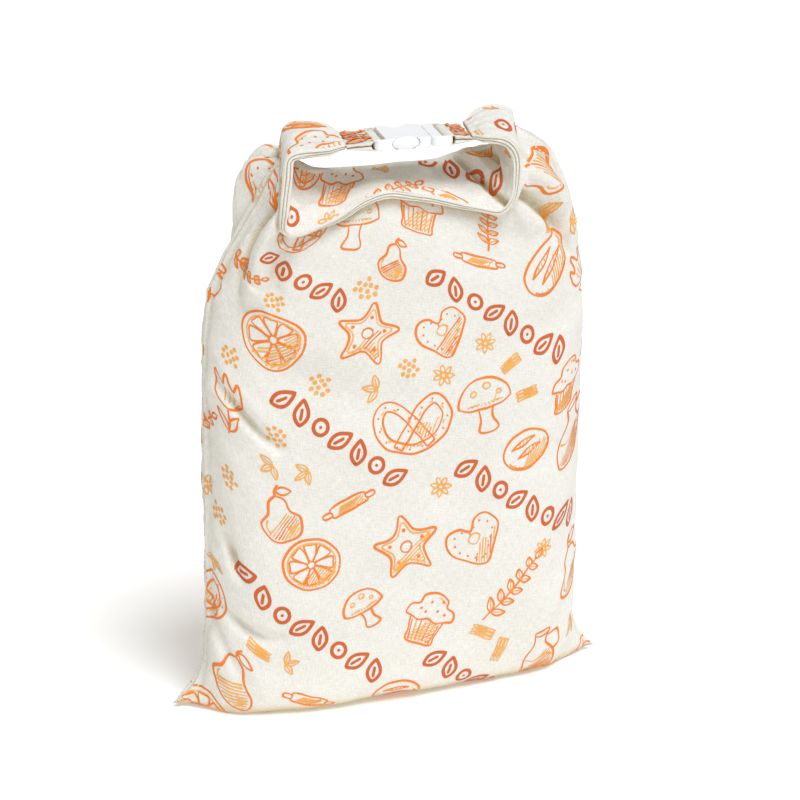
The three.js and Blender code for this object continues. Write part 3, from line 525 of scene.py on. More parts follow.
def canvas_material(name, dark, light, ink=False, yarn=0.62):
    """Plain-woven cotton: threads both ways, uneven yarns, small neps, soft sheen, and (off the print) painted warm
    shade darkening its creases.
    """
    mat = bpy.data.materials.new(name)
    nt, b = nodes_of(mat)
    link = nt.links.new
    uv = add_node(nt, "ShaderNodeUVMap", _uv_map="cloth")
    pitch = yarn * MM
    # threads
    warp = add_node(nt, "ShaderNodeTexWave", Scale=0.314 / pitch, Distortion=1.2, Detail=1.0)
    warp.inputs["Detail Scale"].default_value = 0.6
    warp.bands_direction = "X"
    weft = add_node(nt, "ShaderNodeTexWave", Scale=0.314 / pitch, Distortion=1.2, Detail=1.0)
    weft.inputs["Detail Scale"].default_value = 0.6
    weft.bands_direction = "Y"
    for w in (warp, weft):
        link(uv.outputs[0], w.inputs["Vector"])
    weave = add_node(nt, "ShaderNodeMath", _operation="MAXIMUM")
    link(warp.outputs["Fac"], weave.inputs[0])
    link(weft.outputs["Fac"], weave.inputs[1])
    # slubs: long thin noise along each thread direction
    slubs = []
    for sx, sy in ((1 / 0.7, 1 / 6.0), (1 / 6.0, 1 / 0.7)):
        mp = add_node(nt, "ShaderNodeMapping")
        mp.inputs["Scale"].default_value = (sx * 1000, sy * 1000, 1)
        link(uv.outputs[0], mp.inputs["Vector"])
        nz = add_node(nt, "ShaderNodeTexNoise", Scale=1.0, Detail=2.0, Roughness=0.6)
        link(mp.outputs[0], nz.inputs["Vector"])
        slubs.append(nz)
    slub = add_node(nt, "ShaderNodeMath", _operation="ADD")
    link(slubs[0].outputs["Fac"], slub.inputs[0])
    link(slubs[1].outputs["Fac"], slub.inputs[1])
    # colour: threads, slubs, large soft tone
    tone = add_node(nt, "ShaderNodeTexNoise", Scale=14.0, Detail=3.0, Roughness=0.5)
    link(uv.outputs[0], tone.inputs["Vector"])
    grain = add_node(nt, "ShaderNodeTexNoise", Scale=1200.0, Detail=2.0, Roughness=0.75)
    link(uv.outputs[0], grain.inputs["Vector"])
    s1 = add_node(nt, "ShaderNodeMapRange")
    s1.inputs["From Min"].default_value, s1.inputs["From Max"].default_value = 0.75, 1.25
    s1.inputs["To Min"].default_value, s1.inputs["To Max"].default_value = 0.22, 0.78
    link(slub.outputs[0], s1.inputs["Value"])
    s2 = add_node(nt, "ShaderNodeMath", _operation="MULTIPLY_ADD")
    s2.inputs[1].default_value = 0.35
    link(weave.outputs[0], s2.inputs[0])
    link(s1.outputs[0], s2.inputs[2])
    s3 = add_node(nt, "ShaderNodeMath", _operation="MULTIPLY_ADD")
    s3.inputs[1].default_value = 0.95
    link(grain.outputs["Fac"], s3.inputs[0])
    link(s2.outputs[0], s3.inputs[2])
    s4 = add_node(nt, "ShaderNodeMath", _operation="MULTIPLY_ADD")
    s4.inputs[1].default_value = 0.5
    link(tone.outputs["Fac"], s4.inputs[0])
    link(s3.outputs[0], s4.inputs[2])
    ramp = nt.nodes.new("ShaderNodeValToRGB")
    ramp.color_ramp.elements[0].position, ramp.color_ramp.elements[0].color = 0.45, (*dark, 1)
    ramp.color_ramp.elements[1].position, ramp.color_ramp.elements[1].color = 1.0, (*light, 1)
    half = add_node(nt, "ShaderNodeMath", _operation="MULTIPLY")
    half.inputs[1].default_value = 0.52
    link(s4.outputs[0], half.inputs[0])
    link(half.outputs[0], ramp.inputs["Fac"])
    if ink:
        link(ramp.outputs[0], b.inputs["Base Color"])
    else:
        # painted shade: ambient occlusion multiplies a warm beige into the cloth's colour in creases and hollows, where
        # shade falls
        deep = add_node(nt, "ShaderNodeAmbientOcclusion", Distance=0.015, _samples=6)
        crease_shade_amount = add_node(nt, "ShaderNodeMapRange")
        crease_shade_amount.inputs["From Min"].default_value, crease_shade_amount.inputs["From Max"].default_value = 0.30, 0.82
        crease_shade_amount.inputs["To Min"].default_value, crease_shade_amount.inputs["To Max"].default_value = 1.0, 0.0
        link(deep.outputs["AO"], crease_shade_amount.inputs["Value"])
        painted_crease_shade = add_node(nt, "ShaderNodeMix", _data_type="RGBA", _blend_type="MULTIPLY")
        painted_crease_shade.inputs[7].default_value = (0.78, 0.65, 0.40, 1)
        link(crease_shade_amount.outputs[0], painted_crease_shade.inputs[0])
        link(ramp.outputs[0], painted_crease_shade.inputs[6])
        link(painted_crease_shade.outputs[2], b.inputs["Base Color"])
    # relief
    relief = add_node(nt, "ShaderNodeMath", _operation="MULTIPLY_ADD")
    relief.inputs[1].default_value = 0.8
    link(s1.outputs[0], relief.inputs[0])
    link(weave.outputs[0], relief.inputs[2])
    bump = add_node(nt, "ShaderNodeBump", Strength=0.35 if not ink else 0.25, Distance=0.00022)
    link(relief.outputs[0], bump.inputs["Height"])
    link(bump.outputs[0], b.inputs["Normal"])
    b.inputs["Roughness"].default_value = 0.88 if not ink else 0.8
    b.inputs["Sheen Weight"].default_value = 0.12 if not ink else 0.05
    b.inputs["Sheen Roughness"].default_value = 0.5
    b.inputs["Specular IOR Level"].default_value = 0.25
    return mat


CREAM = canvas_material("canvas", (0.64, 0.605, 0.515), (0.93, 0.92, 0.875))
INKS = [
    canvas_material("ink_orange", (0.78, 0.175, 0.018), (0.93, 0.27, 0.045), True),
    canvas_material("ink_amber", (0.84, 0.35, 0.055), (0.96, 0.49, 0.13), True),
    canvas_material("ink_rust", (0.52, 0.095, 0.026), (0.68, 0.155, 0.048), True),
]


def plastic_material(name):
    mat = bpy.data.materials.new(name)
    nt, b = nodes_of(mat)
    link = nt.links.new
    co = nt.nodes.new("ShaderNodeTexCoord")
    cloud = add_node(nt, "ShaderNodeTexNoise", Scale=60.0, Detail=2.0, Roughness=0.5)
    link(co.outputs["Object"], cloud.inputs["Vector"])
    fine = add_node(nt, "ShaderNodeTexNoise", Scale=2600.0, Detail=2.0, Roughness=0.6)
    link(co.outputs["Object"], fine.inputs["Vector"])
    ramp = nt.nodes.new("ShaderNodeValToRGB")
    ramp.color_ramp.elements[0].color = (0.92, 0.93, 0.945, 1)
    ramp.color_ramp.elements[1].color = (0.95, 0.955, 0.965, 1)
    link(cloud.outputs["Fac"], ramp.inputs["Fac"])
    link(ramp.outputs[0], b.inputs["Base Color"])
    rough = add_node(nt, "ShaderNodeMapRange")
    rough.inputs["To Min"].default_value, rough.inputs["To Max"].default_value = 0.24, 0.38
    link(cloud.outputs["Fac"], rough.inputs["Value"])
    link(rough.outputs[0], b.inputs["Roughness"])
    bump = add_node(nt, "ShaderNodeBump", Strength=0.05, Distance=0.0001)
    link(fine.outputs["Fac"], bump.inputs["Height"])
    link(bump.outputs[0], b.inputs["Normal"])
    b.inputs["Subsurface Weight"].default_value = 0.0
    return mat


PLASTIC = plastic_material("buckle_white")


# ------------------------------------------------------------------ printed motifs, drawn in strokes
class Ink:
    """Strokes on a cloth surface, gathered into one thin mesh."""

    def __init__(self, place):
        self.place = place            # (a, b in mm) -> points, normals, inside the cloth or not
        self.v, self.f, self.uv, self.m, self.k, self.n = [], [], [], [], 0, 0

    def stroke(self, line, width, ink, taper=True):
        line = np.asarray(line, float)
        if len(line) < 2:
            return
        d = np.r_[0, np.cumsum(np.linalg.norm(np.diff(line, axis=0), axis=1))]
        total = d[-1]
        if total < 0.05:
            return
        w0 = np.broadcast_to(np.asarray(width, float), (len(line),)).copy()
        if taper:
            r = max(float(w0.mean()) / 2, 0.2)
            cuts = np.array([0.0, 0.12 * r, 0.4 * r, r])
            s = np.unique(np.clip(np.r_[cuts, np.arange(r, total - r, 1.15), total - cuts[::-1]], 0, total))
            w = np.interp(s, d, w0)
            e = np.minimum(s, total - s) / r
            w = w * np.where(e < 1, np.sqrt(np.clip(1 - (1 - np.minimum(e, 1)) ** 2, 0.03, 1)), 1)
            line = np.stack([np.interp(s, d, line[:, 0]), np.interp(s, d, line[:, 1])], 1)
        else:
            w = w0
        tg = np.gradient(line, axis=0)
        tg = tg / np.maximum(np.linalg.norm(tg, axis=1, keepdims=True), 1e-9)
        nm = np.stack([-tg[:, 1], tg[:, 0]], 1)
        L, C, R = line + nm * w[:, None] / 2, line, line - nm * w[:, None] / 2
        up = 0.10 + 0.014 * (self.n % 9)
        self.n += 1
        ok = np.ones(len(line), bool)
        cols = []
        for side in (L, C, R):
            p, n, inside = self.place(side[:, 0], side[:, 1])
            ok &= inside
            cols.append(p + n * up)
        base = self.k
        m = len(line)
        self.v.append(np.concatenate(cols))
        self.uv.append(np.concatenate([L, C, R]))
        i = np.nonzero(ok[:-1] & ok[1:])[0]
        for a in (0, 1):
            f = np.stack([base + a * m + i, base + (a + 1) * m + i, base + (a + 1) * m + i + 1, base + a * m + i + 1], 1)
            self.f.append(f)
            self.m.append(np.full(len(f), ink))
        self.k += 3 * m

    def object(self, name, flip, bake):
        v, uv = np.concatenate(self.v), np.concatenate(self.uv)
        f, m = np.concatenate(self.f), np.concatenate(self.m)
        used = np.zeros(len(v), bool)
        used[f.ravel()] = True
        new = np.cumsum(used) - 1
        f = new[f]
        v, uv = v[used], uv[used]
        if flip:
            f = f[:, ::-1]
        return new_object(name, v, f, {"cloth": uv * MM, "OFBake": bake(uv)}, INKS, m)


def curve(points, closed=False):
    return roundspline(points, closed, 0.04)


def arc(cx, cy, rx, ry, a0=0, a1=360, n=None, rot=0):
    n = n or max(6, int(abs(a1 - a0) / 11))
    a = np.radians(np.linspace(a0, a1, n))
    x, y = rx * np.cos(a), ry * np.sin(a)
    r = math.radians(rot)
    return np.stack([cx + x * math.cos(r) - y * math.sin(r), cy + x * math.sin(r) + y * math.cos(r)], 1)


def leaf(x, y, ang, length, wide):
    """Outline of a pointed leaf from its foot at (x, y)."""
    t = np.linspace(0, 1, 12)
    h = wide * np.sin(np.pi * t ** 0.85)
    pts = np.concatenate([np.stack([t * length, h], 1), np.stack([t[::-1] * length, -h[::-1]], 1)])
    r = math.radians(ang)
    return np.stack([x + pts[:, 0] * math.cos(r) - pts[:, 1] * math.sin(r), y + pts[:, 0] * math.sin(r) + pts[:, 1] * math.cos(r)], 1)


def dot(x, y, r):
    t = np.linspace(-1, 1, 7)
    return ("dot", np.stack([x + t * r, np.full(7, y)], 1), 2 * r * np.sqrt(np.clip(1 - t * t, 0, 1)))


# Each motif is a list of (line, width in mm, ink) or dots, in units of the motif's half size.
def round_loaf(g):
    s = [(arc(0, 0, 1, 0.74), 1.5, 0), (arc(0.02, -0.08, 0.9, 0.6, 195, 345), 1.0, 0)]
    for a, b in (((-0.62, 0.22), (0.5, 0.34)), ((-0.48, -0.2), (0.66, -0.02))):
        m = ((a[0] + b[0]) / 2, (a[1] + b[1]) / 2)
        s.append((curve([a, (m[0], m[1] + 0.13), b]), 1.2, 0))
        s.append((curve([a, (m[0], m[1] - 0.07), b]), 1.2, 0))
        for k in range(5):
            x = a[0] + (b[0] - a[0]) * (0.2 + 0.15 * k)
            y = a[1] + (b[1] - a[1]) * (0.2 + 0.15 * k)
            s.append(([(x - 0.03, y - 0.02), (x + 0.05, y + 0.08)], 0.8, 1))
    for k in range(8):
        a = 205 + 17 * k
        c, q = math.cos(math.radians(a)), math.sin(math.radians(a))
        s.append(([(0.97 * c, 0.68 * q), (0.86 * c, 0.56 * q)], 0.8, 1))
    return s


def pretzel(g):
    c = curve([(0.46, -0.62), (0.12, -0.12), (-0.3, 0.42), (-0.72, 0.56), (-0.95, 0.12), (-0.72, -0.42), (-0.2, -0.66),
               (0.2, -0.66), (0.72, -0.42), (0.95, 0.12), (0.72, 0.56), (0.3, 0.42), (-0.12, -0.12), (-0.46, -0.62)])
    t = np.gradient(c, axis=0)
    t = t / np.linalg.norm(t, axis=1, keepdims=True)
    n = np.stack([-t[:, 1], t[:, 0]], 1)
    s = [(c + n * 0.13, 1.3, 0), (c - n * 0.13, 1.3, 0)]
    for e in (0, -1):
        s.append(([tuple(c[e] + n[e] * 0.13), tuple(c[e] - n[e] * 0.13)], 1.3, 0))
    for k in range(7, len(c) - 7, 9):
        s.append(dot(c[k][0], c[k][1], 0.028))
    for k in range(10, len(c) - 10, 12):
        s.append(((c + n * 0.06)[k:k + 4], 0.8, 1))
    return s


def muffin(g):
    s = [(curve([(-0.62, 0.0), (-0.5, -0.52), (-0.42, -0.86), (0.42, -0.86), (0.5, -0.52), (0.62, 0.0)]), 1.4, 0)]
    s.append((curve([(-0.62, 0.02), (-0.86, 0.12), (-0.78, 0.42), (-0.5, 0.52), (-0.42, 0.82), (0.0, 0.94), (0.42, 0.82),
                     (0.52, 0.54), (0.8, 0.42), (0.86, 0.12), (0.62, 0.02)]), 1.5, 0))
    s.append((curve([(-0.62, 0.02), (-0.3, -0.08), (0, 0.0), (0.3, -0.08), (0.62, 0.02)]), 1.3, 0))
    for k in range(-3, 4):
        s.append(([(k * 0.17, -0.1), (k * 0.125, -0.82)], 0.9, 0 if k % 2 else 1))
    for x, y in ((-0.4, 0.34), (-0.1, 0.6), (0.22, 0.34), (0.5, 0.28), (0.3, 0.7), (-0.2, 0.24)):
        s.append(dot(x, y, 0.05))
    s.append((arc(0, 0.5, 0.5, 0.3, 20, 80), 0.8, 1))
    return s


def mushroom(g):
    s = [(arc(0, 0.05, 0.86, 0.72, -4, 184), 1.5, 0), (curve([(-0.86, 0.02), (-0.4, -0.16), (0.4, -0.16), (0.86, 0.02)]), 1.3, 0)]
    s.append((curve([(-0.24, -0.14), (-0.2, -0.5), (-0.32, -0.86), (0, -0.95), (0.32, -0.86), (0.2, -0.5), (0.24, -0.14)]), 1.4, 0))
    for k in range(-4, 5):
        s.append(([(k * 0.15, -0.1 + 0.006 * k * k), (k * 0.09, 0.0)], 0.8, 1))
    for x, y, r in ((-0.34, 0.34, 0.1), (0.12, 0.5, 0.12), (0.48, 0.24, 0.08)):
        s.append((arc(x, y, r, r * 0.8), 1.0, 1))
    return s


def sprig(g):
    st = curve([(-0.9, -0.75), (-0.35, -0.3), (0.15, 0.15), (0.8, 0.8)])
    s = [(st, 1.3, 0)]
    for i, k in enumerate(np.linspace(8, len(st) - 10, 5).astype(int)):
        for sd in (-1, 1):
            x, y = st[k]
            L = 0.46 - 0.04 * i
            lf = leaf(x, y, 42 + sd * 52, L, 0.1)
            s.append((lf, 1.2, 0))
            a = math.radians(42 + sd * 52)
            s.append(([(x, y), (x + 0.8 * L * math.cos(a), y + 0.8 * L * math.sin(a))], 0.7, 1))
    s.append((leaf(st[-1][0] - 0.05, st[-1][1] - 0.05, 46, 0.34, 0.09), 1.2, 0))
    return s


def citrus(g):
    s = [(arc(0, 0, 0.9, 0.86), 1.5, 0), (arc(0, 0, 0.76, 0.72), 1.0, 1)]
    for k in range(8):
        a = 45 * k + 10
        p = [(0.1, 0.0), (0.62, 0.2), (0.68, 0.0), (0.62, -0.2)]
        r = math.radians(a)
        q = [(x * math.cos(r) - y * math.sin(r), x * math.sin(r) + y * math.cos(r)) for x, y in p]
        s.append((curve(q, True), 1.1, 0))
    return s


def pear(g):
    s = [(curve([(0.02, 0.62), (-0.24, 0.42), (-0.34, 0.02), (-0.62, -0.36), (-0.42, -0.82), (0.04, -0.92), (0.5, -0.78),
                 (0.64, -0.3), (0.36, 0.04), (0.26, 0.44), (0.02, 0.62)]), 1.5, 0)]
    s.append((curve([(0.02, 0.62), (0.06, 0.8), (0.2, 0.95)]), 1.4, 0))
    s.append((leaf(0.08, 0.78, -14, 0.5, 0.13), 1.2, 0))
    for k in range(6):
        s.append((arc(0.0, -0.34, 0.46 - 0.05 * k, 0.46 - 0.05 * k, -62 + 4 * k, -14 - 3 * k), 0.8, 1))
    s.append((arc(-0.26, -0.4, 0.2, 0.26, 130, 230), 0.9, 1))
    return s


def rolling_pin(g):
    s = [(curve([(-0.6, 0.2), (0.6, 0.2), (0.68, 0.0), (0.6, -0.2), (-0.6, -0.2), (-0.68, 0.0)], True), 1.5, 0)]
    for d in (-1, 1):
        s.append((curve([(d * 0.68, 0.08), (d * 0.86, 0.1), (d * 1.02, 0.07), (d * 1.04, -0.07), (d * 0.86, -0.1), (d * 0.68, -0.08)]), 1.3, 0))
    for k in range(5):
        s.append(([(-0.5 + 0.05 * k, -0.12 + 0.05 * k), (0.1 + 0.09 * k, -0.12 + 0.05 * k)], 0.8, 1))
    return s


def star_cookie(g):
    pts = []
    for k in range(10):
        r = 0.95 if k % 2 == 0 else 0.52
        a = math.radians(90 + 36 * k)
        pts.append((r * math.cos(a), r * math.sin(a)))
    P = np.array(pts)
    s = [(curve(P, True), 1.5, 0), (curve(P * 0.78, True), 0.9, 1)]
    for k in range(5):
        a = math.radians(90 + 72 * k)
        s.append(dot(0.5 * math.cos(a), 0.5 * math.sin(a), 0.055))
    s.append((arc(0, 0, 0.16, 0.16), 1.1, 0))
    return s


def heart(g):
    pts = [(0, -0.86), (-0.5, -0.4), (-0.86, 0.12), (-0.7, 0.62), (-0.3, 0.66), (0, 0.36), (0.3, 0.66), (0.7, 0.62), (0.86, 0.12), (0.5, -0.4)]
    P = np.array(pts)
    s = [(curve(P, True), 1.5, 0)]
    for x, y in curve(P * 0.74, True)[::7]:
        s.append(dot(x, y, 0.034))
    s.append((curve([(-0.2, 0.1), (0, -0.1), (0.2, 0.1), (0, 0.25)], True), 1.0, 1))
    return s


def jug(g):
    s = [(curve([(-0.3, 0.8), (-0.26, 0.42), (-0.6, -0.05), (-0.54, -0.66), (-0.3, -0.9), (0.3, -0.9), (0.54, -0.66), (0.6, -0.05), (0.24, 0.42), (0.34, 0.8)]), 1.5, 0)]
    s.append((arc(0.02, 0.8, 0.33, 0.1), 1.2, 0))
    s.append((curve([(0.3, 0.62), (0.74, 0.58), (0.8, 0.16), (0.55, 0.05)]), 1.4, 0))
    s.append((curve([(-0.56, -0.1), (-0.2, -0.22), (0.2, -0.02), (0.58, -0.14)]), 1.0, 1))
    for k in range(4):
        s.append(([(0.12 + 0.1 * k, -0.72 + 0.04 * k), (0.26 + 0.06 * k, -0.36 + 0.03 * k)], 0.8, 1))
    return s


def tulip(g):
    s = [(curve([(0, -0.15), (-0.42, 0.1), (-0.4, 0.75), (-0.18, 0.45), (0, 0.85), (0.18, 0.45), (0.4, 0.75), (0.42, 0.1)], True), 1.4, 0)]
    s.append((curve([(0, -0.15), (0.05, -0.5), (-0.04, -0.92)]), 1.4, 0))
    s.append((leaf(0.0, -0.82, 60, 0.66, 0.11), 1.2, 0))
    s.append((leaf(-0.02, -0.82, 122, 0.6, 0.1), 1.2, 0))
    for k in (-1, 0, 1):
        s.append(([(0.12 * k, 0.0), (0.16 * k, 0.36)], 0.8, 1))
    return s


# small fillers
def seeds(g):
    s = []
    for x, y in ((-0.6, 0.3), (-0.2, 0.62), (0.3, 0.5), (0.66, 0.16), (0.1, 0.1), (-0.36, -0.1), (0.42, -0.3), (-0.05, -0.42), (-0.55, -0.55), (0.2, -0.8), (0.72, -0.62)):
        s.append((arc(x, y, 0.14, 0.12), 1.0, 1))
        s.append(dot(x + 0.03, y - 0.03, 0.07))
    return s


def twigs(g):
    s = []
    for k in (-1, 0, 1):
        s.append((curve([(-0.85, 0.3 * k + 0.06), (0.85, 0.3 * k + 0.1), (0.9, 0.3 * k), (0.85, 0.3 * k - 0.1), (-0.85, 0.3 * k - 0.1), (-0.9, 0.3 * k)], True), 0.9, 1))
        s.append(([(-0.6, 0.3 * k), (0.3, 0.3 * k)], 0.6, 1))
    return s


def leaf_trio(g):
    s = []
    for a in (-35, 30, 95):
        r = math.radians(a)
        s.append((leaf(-0.3, -0.3, a, 1.1, 0.22), 1.0, 1))
        s.append(([(-0.3, -0.3), (-0.3 + 0.8 * math.cos(r), -0.3 + 0.8 * math.sin(r))], 0.8, 1))
    return s


def daisy(g):
    s = [(arc(0, 0, 0.2, 0.2), 1.0, 1)]
    for k in range(7):
        s.append((leaf(0.22 * math.cos(k * 0.9), 0.22 * math.sin(k * 0.9), math.degrees(k * 0.9), 0.68, 0.17), 0.9, 1))
    return s


BIG = [round_loaf, pretzel, muffin, mushroom, sprig, citrus, pear, rolling_pin, star_cookie, heart, jug, tulip]
SMALL = [seeds, twigs, leaf_trio, daisy]


def inside_outline(pts, ring):
    x, y = pts[:, 0][:, None], pts[:, 1][:, None]
    x0, y0 = ring[:, 0][None], ring[:, 1][None]
    x1, y1 = np.roll(x0, -1, axis=1), np.roll(y0, -1, axis=1)
    cross = ((y0 > y) != (y1 > y)) & (x < (x1 - x0) * (y - y0) / np.where(y1 == y0, 1e-9, y1 - y0) + x0)
    return cross.sum(1) % 2 == 1


def hatching(ring, g, spacing=0.085):
    """Short parallel strokes that shade one side of a closed outline."""
    ring = np.asarray(ring, float)
    ang = g.uniform(0.5, 1.1)
    dx, dy = math.cos(ang), math.sin(ang)
    out = []
    for k in np.arange(-1.2, 1.2, spacing):
        t = np.linspace(-1.3, 1.3, 90) + g.uniform(-0.03, 0.03)
        pts = np.stack([-dy * k + dx * t, dx * k + dy * t], 1)
        # shade to the lower right, ragged at its edge
        ok = inside_outline(pts, ring * 0.93) & (pts @ np.array([0.62, -0.78]) > 0.26 + 0.14 * math.sin(9 * k) + g.uniform(-0.07, 0.07))
        run = np.nonzero(ok)[0]
        if len(run) > 4:
            cuts = np.split(run, np.nonzero(np.diff(run) > 1)[0] + 1)
            for c in cuts:
                if len(c) > 4:
                    out.append((pts[c[0]:c[-1]:3], g.uniform(0.65, 1.0), 1 if g.uniform() < 0.75 else 0))
    return out


def draw(ink, motif, a, b, size, turn, g):
    r = math.radians(turn)
    wob = g.uniform(0, 6.28, 6)
    parts = motif(g)
    if motif in BIG and motif is not sprig:
        parts = hatching(parts[0][0], g) + parts
    for part in parts:
        if part[0] is not None and isinstance(part[0], str):
            line, w, colour, plain = np.asarray(part[1], float), part[2] * size, 0 if motif in BIG else 1, True
        else:
            line, w, colour, plain = np.asarray(part[0], float), part[1], part[2], False
        x, y = line[:, 0] * size, line[:, 1] * size
        x = x + 0.35 * np.sin(y / 6.0 + wob[0]) + 0.2 * np.sin(y / 2.3 + wob[1])
        y = y + 0.35 * np.sin(x / 6.5 + wob[2]) + 0.2 * np.sin(x / 2.6 + wob[3])
        pts = np.stack([a + x * math.cos(r) - y * math.sin(r), b + x * math.sin(r) + y * math.cos(r)], 1)
        if plain:
            ink.stroke(pts, w, colour, taper=False)
        else:
            n = len(pts)
            ww = w * 1.16 * (1 + 0.24 * np.sin(np.linspace(0, g.uniform(5, 12), n) + wob[4]))
            ink.stroke(pts, ww, colour)


def garland(ink, a, b, turn, count, g):
    """A bold diagonal row: leaves and rings by turns, as heavy and as long as a line of large type."""
    r = math.radians(turn)
    for k in range(count):
        d = (k - (count - 1) / 2) * 18.5
        x, y = a + d * math.cos(r), b + d * math.sin(r)
        if k % 3 == 2:
            ink.stroke(arc(x, y, 5.6, 6.2, 0, 372), 2.9, 2)
            ink.stroke([(x - 1.2, y), (x + 1.2, y)], 2.6, 2)
        else:
            lean = turn + (62 if k % 3 == 0 else 118)
            rr = math.radians(lean)
            lf = leaf(x - 9.5 * math.cos(rr), y - 9.5 * math.sin(rr), lean, 20, 5.4)
            ink.stroke(np.vstack([lf, lf[:2]]), 2.8, 2)
            ink.stroke([(x - 5.5 * math.cos(rr), y - 5.5 * math.sin(rr)), (x + 4 * math.cos(rr), y + 4 * math.sin(rr))], 2.4, 2)


def layout(ink, wide, high, rows, seed, pitch=66.0):
    g = np.random.default_rng(seed)
    taken = []                                     # (a, b, radius)
    for a, b, turn, count in rows:
        garland(ink, a, b, turn, count, g)
        r = math.radians(turn)
        for k in range(count):
            d = (k - (count - 1) / 2) * 18.5
            taken.append((a + d * math.cos(r), b + d * math.sin(r), 12.5))
    kinds = list(range(len(BIG)))
    g.shuffle(kinds)
    used = 0
    cand = []
    nr, nc = int(high / (pitch * 0.86)) + 3, int(wide / pitch) + 3
    for j in range(-1, nr):
        for i in range(-1, nc):
            cand.append(((i + 0.5 * (j % 2)) * pitch - wide / 2 + g.uniform(-7, 7), j * pitch * 0.86 + g.uniform(-7, 7)))
    for a, b in cand:
        for size, tries in ((g.uniform(24, 29), 6), (g.uniform(19, 22), 14)):
            done = False
            for _ in range(tries):
                aa, bb = a + g.uniform(-14, 14), b + g.uniform(-14, 14)
                if all((aa - x) ** 2 + (bb - y) ** 2 > (size * 0.92 + rr + 2) ** 2 for x, y, rr in taken):
                    draw(ink, BIG[kinds[used % len(kinds)]], aa, bb, size, g.uniform(-28, 28), g)
                    used += 1
                    taken.append((aa, bb, size * 0.92))
                    done = True
                    break
            if done:
                break
    count = 0
    for _ in range(900):
        size = g.uniform(9, 12)
        aa, bb = g.uniform(-wide / 2, wide / 2), g.uniform(0, high)
        if all((aa - x) ** 2 + (bb - y) ** 2 > (size + rr + 1.5) ** 2 for x, y, rr in taken):
            draw(ink, SMALL[count % len(SMALL)], aa, bb, size, g.uniform(0, 360), g)
            count += 1
            taken.append((aa, bb, size))


# ------------------------------------------------------------------ build: the rolled mouth
BAND_K = 460
_st = np.linspace(0.30, 21.74, BAND_K)
_bf = band_frame(_st)
_mid = (_bf["f"] + _bf["b"]) / 2
_along = np.r_[0, np.cumsum(np.linalg.norm(np.diff(_mid, axis=0), axis=1))]
BAND_LENGTH = float(_along[-1])
_W = _bf["width"][:, 0]
# thickness: full at the uprights and arms, flatter along the lip
_T = BAND_THICK - 1.3 * smooth((_st - 6.0) / 2) * smooth((17.0 - _st) / 2)

BAND_FOLDS = [        # on the band's inner face: along, across as a share of its width from the lip edge, and again; height, half width
    (225, 0.97, 237, 0.48, -5.0, 2.8),
    (237, 0.48, 249, 0.05, -5.8, 2.5),
    (216, 0.85, 227, 0.35, -1.8, 8.0),
    (236, 0.98, 251, 0.42, 4.2, 5.5),
    (248, 0.98, 259, 0.62, -4.6, 2.6),
    (264, 0.95, 263, 0.40, 2.4, 4.0),
    (227, 0.42, 240, 0.06, 1.6, 4.0),
    (286, 0.1, 276, 0.95, 1.3, 6.0),
    (96, 0.98, 110, 0.60, -1.6, 4.0),
    (128, 0.98, 122, 0.62, 1.0, 5.0),
    (160, 0.98, 172, 0.6, -1.2, 6.0),
    (196, 0.98, 188, 0.55, 1.0, 6.0),
    (70, 0.2, 62, 0.9, -1.4, 3.5),
    (80, 0.05, 92, 0.35, -1.4, 3.5),
]
LAYER_LINE = [(84, 0.50), (93, 0.46), (112, 0.43), (129, 0.40), (147, 0.47), (168, 0.36), (196, 0.22), (222, 0.16)]   # edge of the second layer inside


def band_relief(a, w, W, face):
    """Height of the band's face above its plane, in mm."""
    share = (w + W / 2) / W
    h = 0.45 * ripple("band" + face, a, w * 1.3, 34) + 0.14 * ripple("bandfine" + face, a, w, 11)
    if face == "in":
        for a0, s0, a1, s1, high, wide in BAND_FOLDS:
            dx, dq = a1 - a0, (s1 - s0) * W
            t = np.clip(((a - a0) * dx + (share - s0) * W * dq) / (dx * dx + dq * dq), 0, 1)
            dist = np.hypot(a - a0 - t * dx, (share - s0) * W - t * dq)
            h = h + high * np.exp(-((dist / wide) ** 2))
        la, lb = np.array(LAYER_LINE).T
        edge = (np.interp(a, la, lb) - share) * W
        h = h + 1.5 * smooth(edge / 0.9) * smooth((a - 80) / 8) * smooth((226 - a) / 12)
    else:
        h = h + 0.5 * smooth((9.5 - (w + W / 2)) / 1.4)
        for k in range(9):          # gathers at the arms' ends
            s0 = 0.08 + 0.1 * k
            for end, reach in ((0.0, 26.0), (BAND_LENGTH, 26.0)):
                near = np.exp(-((a - end) / reach) ** 2)
                h = h + (0.8 if k % 2 else -0.8) * near * np.exp(-(((share - s0 + 0.02 * np.sin(a / 7 + k)) * W / 2.6) ** 2))
    return h * smooth((w + W / 2) / 4) * smooth((W / 2 - w) / 6)


def band_points(a_i, w, o):
    return _mid[a_i] + _bf["w"][a_i] * w[:, None] + _bf["out"][a_i] * o[:, None]


def band_taper(a):
    """The arms draw in towards the buckle tabs: factors on the width and the thickness."""
    e = smooth(np.minimum(a, BAND_LENGTH - a) / 11)
    return 0.80 + 0.20 * e, 0.58 + 0.42 * e


